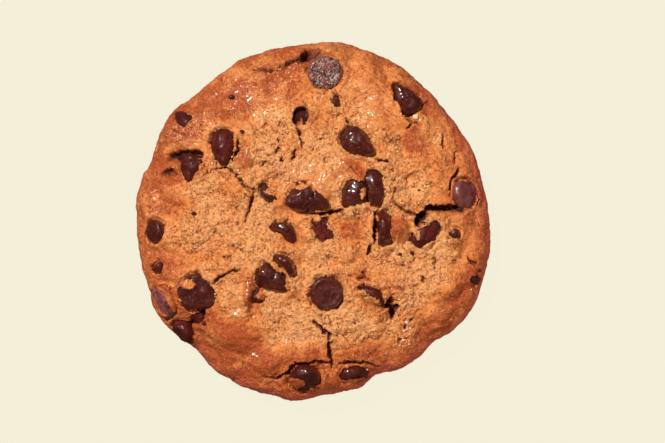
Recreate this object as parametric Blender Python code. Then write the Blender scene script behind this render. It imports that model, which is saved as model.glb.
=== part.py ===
# Chocolate chip cookie: one baked round of dough with dark chocolate chips set in it.
# Lengths are in millimetres and angles in degrees. MM turns a length into Blender's metres.
# The cookie lies on z = 0. Seen from above, +X is its right edge and +Y its far edge.

import math
from collections import namedtuple

import bmesh
import bpy
import numpy as np
from mathutils import Matrix, Vector, noise

MM = 0.001

# The round of dough
MEAN_RADIUS = 44.15
THICKNESS = 14.5
BELLY_HEIGHT = 4.2  # height of the widest line of the side
CROWN = 3.1  # 2 is an even dome, higher is flatter in the middle
BASE_INSET = 2.4  # how far the flat base stays inside the widest line
TOP_RINGS = 26
SIDE_RINGS = 2
FADE_RINGS = 3  # rings at the belly over which the crumb relief dies away
BELLY_RELIEF = 0.25  # share of the relief that is left at the widest line
CURVE_STEPS = 600  # steps in which the dome's curve is measured
SLOPE_STEP = 0.01  # share of the radius over which the slope of the crust is read
SHARP_ANGLE = 45

# Swells and flats of the edge: angle, spread and rise
RIM_SWELLS = (
    (14, 12, -0.6),
    (40, 17, -1.1),
    (67, 12, 0.5),
    (82, 7, 0.9),
    (129, 15, -0.9),
    (143, 5, 1.0),
    (159, 6, -0.9),
    (171, 8, 0.6),
    (194, 14, 0.4),
    (212, 6, 1.5),
    (227, 6, -0.5),
    (246, 10, 1.1),
    (263, 7, 1.2),
    (280, 8, -0.7),
    (293, 6, -2.3),
    (303, 5, -0.8),
    (314, 6, -1.3),
    (332, 9, 1.4),
    (349, 8, 0.8),
)

# Crumb relief, rounded lumps with creases between them: size of the lumps and how far they rise
LUMPS = ((9.0, 2.2), (5.0, 1.2), (3.2, 0.4))
LUMP_MEAN = 0.24  # share of the rise that is taken off again, so the dome keeps its height

# Mounds and dips: x, y, half length, half width, heading and rise
MOUNDS = (
    (9.8, 13.6, 5.2, 3.4, -40, 1.1),
    (5.0, 11.5, 6.0, 4.5, 50, 0.6),
    (9.4, -2.4, 4.0, 3.2, 50, 0.9),
    (21.5, -1.6, 2.8, 2.6, 0, 0.9),
    (25.2, 20.4, 3.4, 3.0, 0, 0.8),
    (17.0, 25.4, 5.0, 4.0, 10, 0.6),
    (-17.0, 15.0, 5.2, 2.4, -80, 0.9),
    (-15.6, -19.6, 5.8, 2.2, 90, 1.0),
    (-10.0, 33.6, 4.6, 3.2, -20, 0.8),
    (-27.5, 25.0, 7.0, 3.0, 40, 0.7),
    (-35.5, 19.0, 6.0, 2.4, 35, 0.7),
    (-34.5, 7.0, 5.0, 3.0, -30, 0.7),
    (13.0, -4.0, 3.6, 2.0, 80, 0.7),
    (20.6, -5.0, 4.4, 2.4, 80, 0.6),
    (-5.6, -4.6, 4.4, 3.6, 30, 0.7),
    (-6.4, -13.2, 3.0, 2.4, -40, 0.9),
    (13.0, -20.4, 6.5, 4.6, 40, 0.7),
    (-1.0, -32.4, 5.0, 3.4, 10, 0.8),
    (8.8, -33.4, 4.8, 3.0, 5, 0.8),
    (-22.6, -28.0, 9.0, 3.4, -25, 0.8),
    (-21.0, -18.0, 4.4, 3.0, 60, 0.6),
    (33.5, -18.0, 7.0, 4.4, 60, 0.6),
    (29.0, 10.0, 5.0, 4.0, 70, 0.7),
    (38.4, 13.0, 5.5, 2.4, 100, 0.6),
    (24.6, 10.6, 3.4, 2.6, 0, -0.9),
    (-23.0, 3.0, 8.0, 5.0, 20, -0.5),
    (-12.0, 22.0, 6.0, 5.0, 60, -0.6),
    (24.0, -11.0, 5.0, 4.0, 20, -0.5),
)

# Scooped hollows beside the chips: x, y, half length, half width, heading and depth
HOLLOWS = (
    (-3.2, 40.0, 6.2, 1.9, 32, 2.6),
    (-32.2, 14.9, 4.8, 1.7, 14, 2.8),
    (-35.8, 11.6, 2.4, 0.9, -12, 1.4),
    (-2.4, 26.0, 2.5, 2.0, 65, 2.8),
    (32.6, 2.6, 5.0, 1.1, -4, 2.6),
    (27.2, 0.3, 2.2, 1.6, 60, 2.6),
    (19.5, -21.2, 2.4, 1.6, 70, 2.6),
    (-13.9, -20.6, 4.8, 1.5, 88, 1.6),
    (-28.4, -24.4, 2.4, 1.4, 45, 2.4),
)

# Splits in the crust: width, depth and the points of the line
CRACKS = (
    (1.2, 1.8, ((-15.4, 37.6), (-13.2, 36.9), (-9.6, 36.5), (-7.4, 38.4))),
    (1.0, 1.8, ((-4.2, 23.4), (-3.4, 21.6), (-3.0, 18.2))),
    (0.9, 1.6, ((7.4, 25.9), (8.3, 24.5), (9.0, 23.0))),
    (1.0, 1.8, ((-20.6, 12.6), (-18.4, 10.6), (-16.7, 8.4))),
    (1.3, 2.2, ((-0.4, 1.9), (2.4, 1.5), (5.4, 1.9), (7.6, 2.9))),
    (1.0, 1.8, ((15.4, 15.2), (17.2, 14.7), (19.2, 14.0))),
    (1.0, 1.8, ((22.4, 26.0), (24.1, 24.2), (23.0, 22.4))),
    (0.9, 1.6, ((32.6, 22.0), (32.3, 19.9), (32.6, 18.0))),
    (1.2, 2.2, ((36.2, 13.2), (34.8, 11.0), (33.0, 7.4))),
    (1.1, 1.8, ((20.4, 3.4), (22.8, 2.1), (25.6, 1.2))),
    (1.2, 3.0, ((15.3, 2.4), (15.4, -1.8), (15.3, -6.0))),
    (1.0, 1.8, ((14.6, -5.6), (13.7, -7.6), (13.4, -9.0))),
    (1.5, 3.0, ((0.4, -25.8), (2.2, -27.2), (4.0, -28.6), (3.6, -31.6), (4.6, -34.8))),
    (1.4, 2.2, ((-12.2, -38.6), (-9.2, -39.4), (-6.6, -38.2), (-4.2, -35.6), (0.4, -34.9), (5.0, -35.4))),
    (1.1, 2.0, ((6.4, -35.2), (9.6, -34.9), (12.8, -35.4), (16.6, -36.6))),
    (1.3, 2.0, ((-24.7, -15.6), (-23.4, -14.0), (-21.4, -13.1), (-18.4, -12.0))),
    (0.9, 1.6, ((-16.1, 2.8), (-14.9, 5.6), (-14.0, 7.6))),
    (0.9, 1.5, ((38.6, -8.8), (39.9, -10.8), (40.8, -12.2))),
    (1.1, 1.8, ((-40.0, -16.6), (-40.9, -19.4), (-39.9, -23.0))),
)
BLADE_RISE = 1.2  # how far a cutter stands above the crust
END_TAPER = 0.35  # width and depth left at the ends of a split

# Chocolate chips. tilt is from the crust's own slope: 0 with the tip up, 90 lying and 180 with
# the flat foot up. heading is the way the tip leans, depth is how far the middle lies below it.
Chip = namedtuple("Chip", "x y diameter height tilt heading depth")
CHIPS = (
    Chip(-33.0, 25.6, 6.6, 6.0, 70, 142, 1.7),
    Chip(-22.2, 17.3, 7.9, 8.9, 62, -93, 0.8),
    Chip(-30.6, 12.6, 6.8, 6.8, 72, -100, 1.8),
    Chip(-1.9, 25.8, 5.4, 5.0, 60, 20, 2.4),
    Chip(-11.0, 6.2, 6.8, 4.6, 128, 230, 2.4),
    Chip(-3.9, 5.1, 8.0, 6.8, 60, 200, 1.0),
    Chip(1.2, 4.5, 7.0, 6.6, 70, -20, 1.1),
    Chip(2.0, -1.9, 7.0, 5.6, 150, 190, 2.0),
    Chip(-7.0, -2.9, 9.0, 5.4, 130, 50, 2.6),
    Chip(-9.2, -15.0, 8.2, 8.8, 65, -35, 1.0),
    Chip(-7.0, -10.6, 7.8, 4.2, 122, 48, 1.9),
    Chip(3.3, -18.0, 8.8, 6.2, 176, -80, 2.4),
    Chip(14.4, -18.6, 9.0, 5.4, 125, 60, 2.5),
    Chip(18.7, -2.1, 9.8, 6.0, 98, 0, 2.6),
    Chip(9.6, 5.8, 7.8, 7.6, 65, 235, 1.1),
    Chip(15.1, 7.1, 8.4, 8.8, 62, -80, 0.7),
    Chip(11.7, 18.6, 8.2, 8.4, 62, -32, 0.6),
    Chip(22.7, 31.0, 7.2, 8.4, 72, 130, 1.1),
    Chip(36.9, 6.7, 7.8, 6.0, 156, 180, 2.1),
    Chip(28.4, -2.9, 7.8, 8.0, 72, 40, 1.5),
    Chip(35.3, -3.9, 3.2, 3.0, 90, -70, 0.9),
    Chip(40.4, -14.6, 4.0, 3.6, 60, -20, 0.9),
    Chip(-39.0, -2.6, 6.2, 5.0, 156, 0, 1.8),
    Chip(-38.4, -12.3, 3.8, 3.4, 100, -60, 0.9),
    Chip(-29.5, -18.0, 9.8, 7.0, 158, 200, 1.9),
    Chip(-36.9, -20.2, 8.4, 6.0, 160, 30, 1.9),
    Chip(-32.2, -27.1, 7.0, 6.0, 150, 40, 1.8),
    Chip(-2.1, -38.7, 8.6, 6.4, 152, 90, 2.2),
    Chip(9.7, -38.0, 8.2, 6.0, 140, 104, 2.6),
    Chip(2.9, 36.9, 9.2, 6.4, 166, 90, 1.9),
    Chip(-28.5, -24.6, 4.2, 4.0, 80, -45, 1.2),
    Chip(-13.8, -17.9, 3.6, 3.6, 90, 90, 1.2),
    Chip(5.9, 29.4, 5.0, 2.2, 92, 0, 1.6),
)
# Half section of a chip from foot to tip, as shares of its radius and of its height
CHIP_SECTION = ((0.86, 0.0), (1.0, 0.2), (0.76, 0.56), (0.24, 0.93))
CHIP_SIDES = 12
SMALL_CHIP = 5.0  # a chip under this diameter has fewer sides
SMALL_CHIP_SIDES = 8
CHIP_GAP = 0.35  # clearance of a chip in the dough

DOUGH_COLOUR = (0.56, 0.25, 0.085, 1.0)
DOUGH_ROUGHNESS = 0.75
CHOCOLATE_COLOUR = (0.075, 0.022, 0.014, 1.0)
CHOCOLATE_ROUGHNESS = 0.3


def clear_scene():
    for obj in list(bpy.data.objects):
        bpy.data.objects.remove(obj, do_unlink=True)


def material(name, colour, roughness):
    made = bpy.data.materials.new(name)
    made.use_nodes = True
    shader = made.node_tree.nodes["Principled BSDF"]
    shader.inputs["Base Color"].default_value = colour
    shader.inputs["Roughness"].default_value = roughness
    shader.inputs["Metallic"].default_value = 0.0
    made.diffuse_color = colour
    return made


def direction(heading, tilt=90.0):
    """Unit vector that leans by tilt from straight up, towards heading."""
    turn, lean = math.radians(heading), math.radians(tilt)
    return Vector((math.sin(lean) * math.cos(turn), math.sin(lean) * math.sin(turn), math.cos(lean)))


def rim_radius(angle):
    """Distance from the middle to the widest line of the side, at this angle."""
    radius = MEAN_RADIUS
    for place, spread, rise in RIM_SWELLS:
        off = (angle - place + 180.0) % 360.0 - 180.0
        radius += rise * math.exp(-((off / spread) ** 2))
    return radius


def relief(x, y, z):
    """Rise of the lumpy crust above the plain dome: baked lumps, mounds and dips."""
    rise = 0.0
    for size, height in LUMPS:
        rise += height * (abs(noise.noise(Vector((x, y, z)) / size)) - LUMP_MEAN)
    for place_x, place_y, length, width, heading, height in MOUNDS:
        turn = math.radians(heading)
        along = (x - place_x) * math.cos(turn) + (y - place_y) * math.sin(turn)
        across = (y - place_y) * math.cos(turn) - (x - place_x) * math.sin(turn)
        share = (along / length) ** 2 + (across / width) ** 2
        rise += height * math.exp(-share)
    return rise


def dome_height(share):
    """Height of the plain dome where share is the distance from the middle over the rim radius."""
    return BELLY_HEIGHT + (THICKNESS - BELLY_HEIGHT) * math.sqrt(max(0.0, 1 - share**CROWN))


def crust_height(x, y):
    """Height of the crust over a point of the base, for placing what is set in it."""
    share = math.hypot(x, y) / rim_radius(math.degrees(math.atan2(y, x)))
    plain = dome_height(share)
    return plain + relief(x, y, plain)


def crust_slope(x, y):
    """Turn from flat to the slope of the plain dome at this point."""
    share = math.hypot(x, y) / rim_radius(math.degrees(math.atan2(y, x)))
    drop = dome_height(share - SLOPE_STEP) - dome_height(share + SLOPE_STEP)
    fall = drop / (2 * SLOPE_STEP * MEAN_RADIUS)
    normal = Vector((x, y, 0.0)).normalized() * fall + Vector((0.0, 0.0, 1.0))
    return Vector((0.0, 0.0, 1.0)).rotation_difference(normal)


def dome_stations(rings):
    """Shares and heights from the middle of the top to the widest line, evenly spaced."""
    turns = np.linspace(0.0, 1.0, CURVE_STEPS) ** 2 * math.pi / 2
    shares = np.sin(turns) ** (2 / CROWN)
    heights = BELLY_HEIGHT + (THICKNESS - BELLY_HEIGHT) * np.cos(turns)
    steps = np.hypot(np.diff(shares * MEAN_RADIUS), np.diff(heights))
    travel = np.concatenate(([0.0], np.cumsum(steps)))
    stops = np.linspace(0.0, travel[-1], rings + 1)
    return np.interp(stops, travel, shares), np.interp(stops, travel, heights)


def ring_faces(bm, inner, outer):
    """Joins a ring of 6k points to the ring of 6(k+1) points round it, or equal rings."""
    if len(inner) == 1:
        for j, first in enumerate(outer):
            bm.faces.new((inner[0], first, outer[(j + 1) % len(outer)]))
        return
    if len(inner) == len(outer):
        for j in range(len(outer)):
            k = (j + 1) % len(outer)
            bm.faces.new((inner[j], outer[j], outer[k], inner[k]))
        return
    in_run, out_run = len(inner) // 6, len(outer) // 6
    for sector in range(6):
        for j in range(out_run):
            a = inner[(sector * in_run + j) % len(inner)]
            b = outer[sector * out_run + j]
            c = outer[(sector * out_run + j + 1) % len(outer)]
            bm.faces.new((a, b, c))
            if j < in_run:
                d = inner[(sector * in_run + j + 1) % len(inner)]
                bm.faces.new((a, c, d))


def dough_mesh():
    """The round of dough before anything is set in it: crust, rolled side and flat base."""
    bm = bmesh.new()
    shares, heights = dome_stations(TOP_RINGS)
    rings = []
    for k in range(TOP_RINGS + 1):
        low, high = max(k - 1, 0), min(k + 1, TOP_RINGS)
        run = (shares[high] - shares[low]) * MEAN_RADIUS
        drop = heights[low] - heights[high]
        slope = math.hypot(run, drop)
        fade = min(1.0, (TOP_RINGS - k) / FADE_RINGS + BELLY_RELIEF)
        ring = []
        for j in range(max(1, 6 * k)):
            angle = 360.0 * j / max(1, 6 * k)
            turn = math.radians(angle)
            reach = shares[k] * rim_radius(angle)
            x, y = reach * math.cos(turn), reach * math.sin(turn)
            lift = relief(x, y, heights[k]) * fade
            out, up = lift * drop / slope, lift * run / slope
            point = Vector((x + out * math.cos(turn), y + out * math.sin(turn), heights[k] + up))
            ring.append(bm.verts.new(point * MM))
        rings.append(ring)
    for s in range(1, SIDE_RINGS + 1):
        turn_in = math.pi / 2 * s / SIDE_RINGS
        inset = BASE_INSET * (1 - math.cos(turn_in))
        height = BELLY_HEIGHT * (1 - math.sin(turn_in))
        ring = []
        for j in range(6 * TOP_RINGS):
            angle = 360.0 * j / (6 * TOP_RINGS)
            turn = math.radians(angle)
            reach = rim_radius(angle) - inset
            point = Vector((reach * math.cos(turn), reach * math.sin(turn), height))
            ring.append(bm.verts.new(point * MM))
        rings.append(ring)
    for inner, outer in zip(rings, rings[1:]):
        ring_faces(bm, inner, outer)
    bm.faces.new(reversed(rings[-1]))
    bmesh.ops.recalc_face_normals(bm, faces=bm.faces)
    mesh = bpy.data.meshes.new("dough")
    bm.to_mesh(mesh)
    bm.free()
    return mesh


def chip_mesh(name, chip, grow=0.0):
    """A chip turned about its own axis, tip along +Z and its middle at the origin."""
    bm = bmesh.new()
    sides = CHIP_SIDES if chip.diameter >= SMALL_CHIP else SMALL_CHIP_SIDES
    length = chip.height + 2 * grow
    foot = bm.verts.new((0.0, 0.0, -length / 2 * MM))
    tip = bm.verts.new((0.0, 0.0, length / 2 * MM))
    rings = []
    for radius_share, height_share in CHIP_SECTION:
        radius = radius_share * chip.diameter / 2 + grow
        height = (height_share - 0.5) * length
        turns = [2 * math.pi * j / sides for j in range(sides)]
        ring = [Vector((radius * math.cos(turn), radius * math.sin(turn), height)) for turn in turns]
        rings.append([bm.verts.new(point * MM) for point in ring])
    ring_faces(bm, [foot], rings[0])
    for lower, upper in zip(rings, rings[1:]):
        ring_faces(bm, lower, upper)
    for j in range(sides):
        bm.faces.new((rings[-1][j], rings[-1][(j + 1) % sides], tip))
    bmesh.ops.recalc_face_normals(bm, faces=bm.faces)
    mesh = bpy.data.meshes.new(name)
    bm.to_mesh(mesh)
    bm.free()
    return mesh


def place_chip(obj, chip):
    slope = crust_slope(chip.x, chip.y)
    crust = Vector((chip.x, chip.y, crust_height(chip.x, chip.y)))
    obj.location = (crust - slope @ Vector((0.0, 0.0, chip.depth))) * MM
    obj.rotation_mode = "QUATERNION"
    obj.rotation_quaternion = (slope @ direction(chip.heading, chip.tilt)).to_track_quat("Z", "Y")


def crack_mesh(name, width, depth, points):
    """A wedge that follows the line of a split, with its edge down in the dough."""
    bm = bmesh.new()
    rows = []
    for i, point in enumerate(points):
        before, after = Vector(points[max(i - 1, 0)]), Vector(points[min(i + 1, len(points) - 1)])
        along = (after - before).normalized()
        across = Vector((-along.y, along.x, 0.0))
        taper = END_TAPER if i in (0, len(points) - 1) else 1.0
        spread = width / 2 * taper * (1 + BLADE_RISE / depth)
        crust = Vector((point[0], point[1], crust_height(*point)))
        top = crust + Vector((0.0, 0.0, BLADE_RISE))
        edge = crust - Vector((0.0, 0.0, depth * taper))
        rows.append([bm.verts.new(p * MM) for p in (top + across * spread, edge, top - across * spread)])
    for row, following in zip(rows, rows[1:]):
        for k in range(3):
            bm.faces.new((row[k], following[k], following[(k + 1) % 3], row[(k + 1) % 3]))
    bm.faces.new(rows[0])
    bm.faces.new(reversed(rows[-1]))
    bmesh.ops.triangulate(bm, faces=bm.faces)
    bmesh.ops.recalc_face_normals(bm, faces=bm.faces)
    mesh = bpy.data.meshes.new(name)
    bm.to_mesh(mesh)
    bm.free()
    return mesh


def hollow_mesh(name, length, width, depth):
    """A rounded scoop, wider than deep."""
    bm = bmesh.new()
    shape = Matrix.Diagonal((length, width, depth, 1.0))
    bmesh.ops.create_icosphere(bm, subdivisions=2, radius=MM, matrix=shape)
    mesh = bpy.data.meshes.new(name)
    bm.to_mesh(mesh)
    bm.free()
    return mesh


def add_object(name, mesh, collection):
    obj = bpy.data.objects.new(name, mesh)
    collection.objects.link(obj)
    return obj


def make_cutters():
    """Everything that is taken out of the dough, in one collection that isn't rendered."""
    cutters = bpy.data.collections.new("cutters")
    bpy.context.scene.collection.children.link(cutters)
    for i, chip in enumerate(CHIPS, 1):
        obj = add_object(f"pocket_{i:02d}", chip_mesh("pocket", chip, CHIP_GAP), cutters)
        place_chip(obj, chip)
    for i, (x, y, length, width, heading, depth) in enumerate(HOLLOWS, 1):
        obj = add_object(f"hollow_{i:02d}", hollow_mesh("hollow", length, width, depth), cutters)
        obj.location = Vector((x, y, crust_height(x, y))) * MM
        obj.rotation_euler = (0.0, 0.0, math.radians(heading))
    for i, (width, depth, points) in enumerate(CRACKS, 1):
        add_object(f"split_{i:02d}", crack_mesh("split", width, depth, points), cutters)
    for obj in cutters.objects:
        obj.hide_render = True
        obj.display_type = "WIRE"
    return cutters


def largest_body(mesh):
    """Drops the loose scraps that crossing cuts leave, keeping the largest piece."""
    bm = bmesh.new()
    bm.from_mesh(mesh)
    bm.verts.ensure_lookup_table()
    unseen = set(bm.verts)
    bodies = []
    while unseen:
        body, front = set(), [unseen.pop()]
        while front:
            vert = front.pop()
            body.add(vert)
            for edge in vert.link_edges:
                other = edge.other_vert(vert)
                if other in unseen:
                    unseen.remove(other)
                    front.append(other)
        bodies.append(body)
    keep = max(bodies, key=len)
    bmesh.ops.delete(bm, geom=[v for v in bm.verts if v not in keep], context="VERTS")
    bm.to_mesh(mesh)
    bm.free()


def apply_cut(obj, operand):
    """Cuts an object or a whole collection out of obj, and keeps the result as its mesh."""
    cut = obj.modifiers.new("cut", "BOOLEAN")
    cut.operation = "DIFFERENCE"
    cut.solver = "EXACT"
    if isinstance(operand, bpy.types.Collection):
        cut.operand_type = "COLLECTION"
        cut.collection = operand
    else:
        cut.object = operand
    bpy.context.view_layer.update()
    graph = bpy.context.evaluated_depsgraph_get()
    result = bpy.data.meshes.new_from_object(obj.evaluated_get(graph))
    obj.modifiers.remove(cut)
    obj.data = result
    largest_body(result)


def finish_piece(obj, finish):
    """Gives a piece its material, and smooth shading away from its sharp edges."""
    obj.data.materials.clear()
    obj.data.materials.append(finish)
    obj.data.shade_smooth()
    obj.data.set_sharp_from_angle(angle=math.radians(SHARP_ANGLE))


def make_dough(cutters, finish):
    dough = add_object("dough", dough_mesh(), bpy.context.scene.collection)
    apply_cut(dough, cutters)
    finish_piece(dough, finish)


def make_chips(cutters, finish):
    """Each chip is its own piece. Where two touch, the later one is pressed in by the earlier."""
    for i, chip in enumerate(CHIPS, 1):
        name = f"chip_{i:02d}"
        obj = add_object(name, chip_mesh(name, chip), bpy.context.scene.collection)
        place_chip(obj, chip)
        for j, other in enumerate(CHIPS[: i - 1], 1):
            reach = max(chip.diameter, chip.height) / 2 + max(other.diameter, other.height) / 2
            if math.hypot(chip.x - other.x, chip.y - other.y) < reach:
                apply_cut(obj, cutters.objects[f"pocket_{j:02d}"])
        finish_piece(obj, finish)


def main():
    clear_scene()
    baked = material("baked_dough", DOUGH_COLOUR, DOUGH_ROUGHNESS)
    chocolate = material("dark_chocolate", CHOCOLATE_COLOUR, CHOCOLATE_ROUGHNESS)
    cutters = make_cutters()
    make_dough(cutters, baked)
    make_chips(cutters, chocolate)
    for obj in list(cutters.objects):
        bpy.data.objects.remove(obj, do_unlink=True)
    bpy.data.collections.remove(cutters)


main()
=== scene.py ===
import math

import bmesh
import bpy
import numpy as np
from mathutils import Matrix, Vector, noise
from mathutils.bvhtree import BVHTree


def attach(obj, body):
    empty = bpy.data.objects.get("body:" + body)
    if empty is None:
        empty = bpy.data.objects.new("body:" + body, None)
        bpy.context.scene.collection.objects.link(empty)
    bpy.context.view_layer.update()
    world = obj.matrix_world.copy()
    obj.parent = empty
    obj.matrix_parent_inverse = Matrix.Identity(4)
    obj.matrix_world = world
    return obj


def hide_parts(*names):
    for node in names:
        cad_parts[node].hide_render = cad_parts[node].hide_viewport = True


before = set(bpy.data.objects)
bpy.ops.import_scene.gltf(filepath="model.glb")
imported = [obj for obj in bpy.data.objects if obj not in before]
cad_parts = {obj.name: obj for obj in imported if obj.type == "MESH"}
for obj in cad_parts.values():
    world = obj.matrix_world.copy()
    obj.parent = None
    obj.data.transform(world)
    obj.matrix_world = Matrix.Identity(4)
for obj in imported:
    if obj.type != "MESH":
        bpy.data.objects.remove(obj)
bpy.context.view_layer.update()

# Chocolate chip cookie, lying flat. Tables are in millimetres, x to the right and y away.
mm = 0.001


# Helpers for tables, fields and noise

def smoothStep(low, high, value):
    share = np.clip((value - low) / (high - low), 0.0, 1.0)
    return share * share * (3 - 2 * share)


def noiseField(points, size, seed=0.0):
    return np.array([noise.noise(row) for row in (points / size + seed).tolist()])


def spotShare(x, y, placeX, placeY, length, width, heading):  # 0 in the middle, 1 on the ellipse
    turn = math.radians(heading)
    along = (x - placeX) * math.cos(turn) + (y - placeY) * math.sin(turn)
    across = (y - placeY) * math.cos(turn) - (x - placeX) * math.sin(turn)
    return (along / length) ** 2 + (across / width) ** 2


def lineDistance(x, y, points):  # distance, place along it from 0 to 1, and side, + on its left
    best = np.full(len(x), 1e6)
    place, side = np.zeros(len(x)), np.zeros(len(x))
    for i, ((ax, ay), (bx, by)) in enumerate(zip(points, points[1:])):
        dx, dy = bx - ax, by - ay
        run = np.clip(((x - ax) * dx + (y - ay) * dy) / (dx * dx + dy * dy), 0.0, 1.0)
        offX, offY = x - ax - run * dx, y - ay - run * dy
        away = np.hypot(offX, offY)
        closer = away < best
        best[closer] = away[closer]
        place[closer] = (i + run[closer]) / (len(points) - 1)
        side[closer] = np.sign(dx * offY - dy * offX)[closer]
    return best, place, side


# Helpers for node trees

def put(tree, kind, feeds=None, **settings):  # feeds are sockets to link or values to set
    node = tree.nodes.new(kind)
    for name, value in settings.items():
        setattr(node, name, value)
    for name, value in (feeds or {}).items():
        socket = node.inputs[name]
        if isinstance(value, bpy.types.NodeSocket):
            tree.links.new(value, socket)
        else:
            socket.default_value = value
    return node


def maths(tree, operation, first, second=0.0, clamp=False):
    feeds = {0: first, 1: second}
    return put(tree, "ShaderNodeMath", feeds, operation=operation, use_clamp=clamp).outputs[0]


def times(tree, first, second, clamp=False):
    return maths(tree, "MULTIPLY", first, second, clamp)


def plus(tree, first, second, clamp=False):
    return maths(tree, "ADD", first, second, clamp)


def minus(tree, first, second):
    return maths(tree, "SUBTRACT", first, second)


def ramp(tree, value, low, high, start=0.0, end=1.0):  # runs smoothly from start to end
    feeds = {"Value": value, "From Min": low, "From Max": high, "To Min": start, "To Max": end}
    return put(tree, "ShaderNodeMapRange", feeds, interpolation_type="SMOOTHSTEP").outputs[0]


def waves(tree, place, scale, detail, roughness=0.5):
    feeds = {"Vector": place, "Scale": scale, "Detail": detail, "Roughness": roughness}
    return put(tree, "ShaderNodeTexNoise", feeds).outputs[0]


def blendColour(tree, share, first, second):
    feeds = {0: share, 6: first, 7: second}
    return put(tree, "ShaderNodeMix", feeds, data_type="RGBA").outputs[2]


def newTree(name, kind, inputs, outputs):
    tree = bpy.data.node_groups.new(name, kind)
    for label, socketKind, value in inputs:
        socket = tree.interface.new_socket(label, in_out="INPUT", socket_type=socketKind)
        if value is not None:
            socket.default_value = value
    for label, socketKind in outputs:
        tree.interface.new_socket(label, in_out="OUTPUT", socket_type=socketKind)
    start, end = tree.nodes.new("NodeGroupInput"), tree.nodes.new("NodeGroupOutput")
    return tree, start.outputs, end.inputs


def useGroup(tree, group, feeds):
    node = tree.nodes.new("ShaderNodeGroup")
    node.node_tree = group
    for name, value in feeds.items():
        if isinstance(value, bpy.types.NodeSocket):
            tree.links.new(value, node.inputs[name])
        else:
            node.inputs[name].default_value = value
    return node.outputs


def freshMaterial(name):
    made = bpy.data.materials.new(name)
    made.use_nodes = True
    tree = made.node_tree
    return made, tree, tree.nodes["Principled BSDF"].inputs


def attribute(tree, name):
    return put(tree, "ShaderNodeAttribute", attribute_name=name).outputs["Fac"]


def roughen(tree, shader, height):  # a height in metres that bends the normal
    bump = put(tree, "ShaderNodeBump", {"Height": height, "Distance": 1.0, "Strength": 1.0})
    tree.links.new(bump.outputs["Normal"], shader["Normal"])


# Helpers for Geometry Nodes trees

def newGeometryTree(name, numbers):  # its inputs are the geometry, the numbers by name and the finish
    kinds = {int: "NodeSocketInt", float: "NodeSocketFloat"}
    inputs = [("Geometry", "NodeSocketGeometry", None)]
    inputs += [(label, kinds[type(value)], value) for label, value in numbers.items()]
    inputs.append(("Finish", "NodeSocketMaterial", None))
    return newTree(name, "GeometryNodeTree", inputs, [("Geometry", "NodeSocketGeometry")])


def named(tree, name):
    return put(tree, "GeometryNodeInputNamedAttribute", {"Name": name}, data_type="FLOAT").outputs[0]


def store(tree, geometry, name, value, domain):
    feeds = {"Geometry": geometry, "Name": name, "Value": value}
    return put(tree, "GeometryNodeStoreNamedAttribute", feeds, data_type="FLOAT", domain=domain).outputs[0]


def liftAlongNormal(tree, geometry, lift):
    normal = put(tree, "GeometryNodeInputNormal").outputs[0]
    offset = put(tree, "ShaderNodeVectorMath", {0: normal, "Scale": lift}, operation="SCALE").outputs[0]
    return put(tree, "GeometryNodeSetPosition", {"Geometry": geometry, "Offset": offset}).outputs[0]


def finishTree(tree, geometry, finish, out):
    real = put(tree, "GeometryNodeRealizeInstances", {"Geometry": geometry}).outputs[0]
    done = put(tree, "GeometryNodeSetMaterial", {"Geometry": real, "Material": finish}).outputs[0]
    tree.links.new(done, out["Geometry"])


# Helpers for meshes

def linkObject(name, mesh):
    obj = bpy.data.objects.new(name, mesh)
    bpy.context.scene.collection.objects.link(obj)
    return obj


def addNodes(obj, group, values):  # a Geometry Nodes modifier with its inputs set by identifier
    modifier = obj.modifiers.new(group.name, "NODES")
    modifier.node_group = group
    for item in group.interface.items_tree:
        if item.item_type == "SOCKET" and item.in_out == "INPUT" and item.name in values:
            modifier[item.identifier] = values[item.name]
    return modifier


def freeze(obj):  # bakes the modifiers into a plain mesh
    graph = bpy.context.evaluated_depsgraph_get()
    mesh = bpy.data.meshes.new_from_object(obj.evaluated_get(graph), depsgraph=graph)
    obj.modifiers.clear()
    old = obj.data
    obj.data = mesh
    mesh.name = obj.name
    bpy.data.meshes.remove(old)
    return mesh


def meshPoints(mesh):
    points = np.zeros(len(mesh.vertices) * 3)
    mesh.vertices.foreach_get("co", points)
    return points.reshape(-1, 3) / mm


def setPoints(mesh, points):
    mesh.vertices.foreach_set("co", (points * mm).ravel())
    mesh.update()


def setField(mesh, name, values):
    layer = mesh.attributes.new(name, "FLOAT", "POINT")
    layer.data.foreach_set("value", np.asarray(values, dtype=np.float32))


# Camera, light and floor

stage = {
    "frameWidth": 166.25,  # what the picture spans at the height of the rim
    "centre": (4.75, -0.25),
    "rimHeight": 5.0,
    "distance": 695.0,
    "sensor": 36.0,
    "nearest": 10.0,
    "floorSize": 6000.0,
    "floorDrop": 0.1,
    "floorPaint": (0.012, 0.011, 0.010, 1.0),  # dark, as the paper's colour comes from its glow
    "floorRoughness": 0.9,
    "floorColour": (0.904, 0.862, 0.694, 1.0),
    "floorGlow": 0.985,
    "floorBounce": 0.3,  # how much of that glow reaches the cookie
    "floorMirror": 0.2,  # how much of that bounce shows as a reflection
    "keyAngle": (-0.70, 0.84, 1.32),  # where the light comes from
    "keyStrength": 3.55,
    "keySpread": 2.4,
    "keyColour": (1.0, 0.97, 0.93),
    "softAngle": (0.72, -0.62, 0.80),
    "softStrength": 1.25,
    "softSpread": 70.0,
    "softColour": (1.0, 0.82, 0.76),
    "fillStrength": 0.09,
    "fillColour": (1.0, 0.93, 0.86, 1.0),
}

centreX, centreY = stage["centre"]
cameraData = bpy.data.cameras.new("topCamera")
cameraData.sensor_width = stage["sensor"]
cameraData.lens = stage["sensor"] * stage["distance"] / stage["frameWidth"]
cameraData.clip_start = stage["nearest"] * mm
camera = linkObject("topCamera", cameraData)
camera.location = (centreX * mm, centreY * mm, (stage["rimHeight"] + stage["distance"]) * mm)
bpy.context.scene.camera = camera

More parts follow.
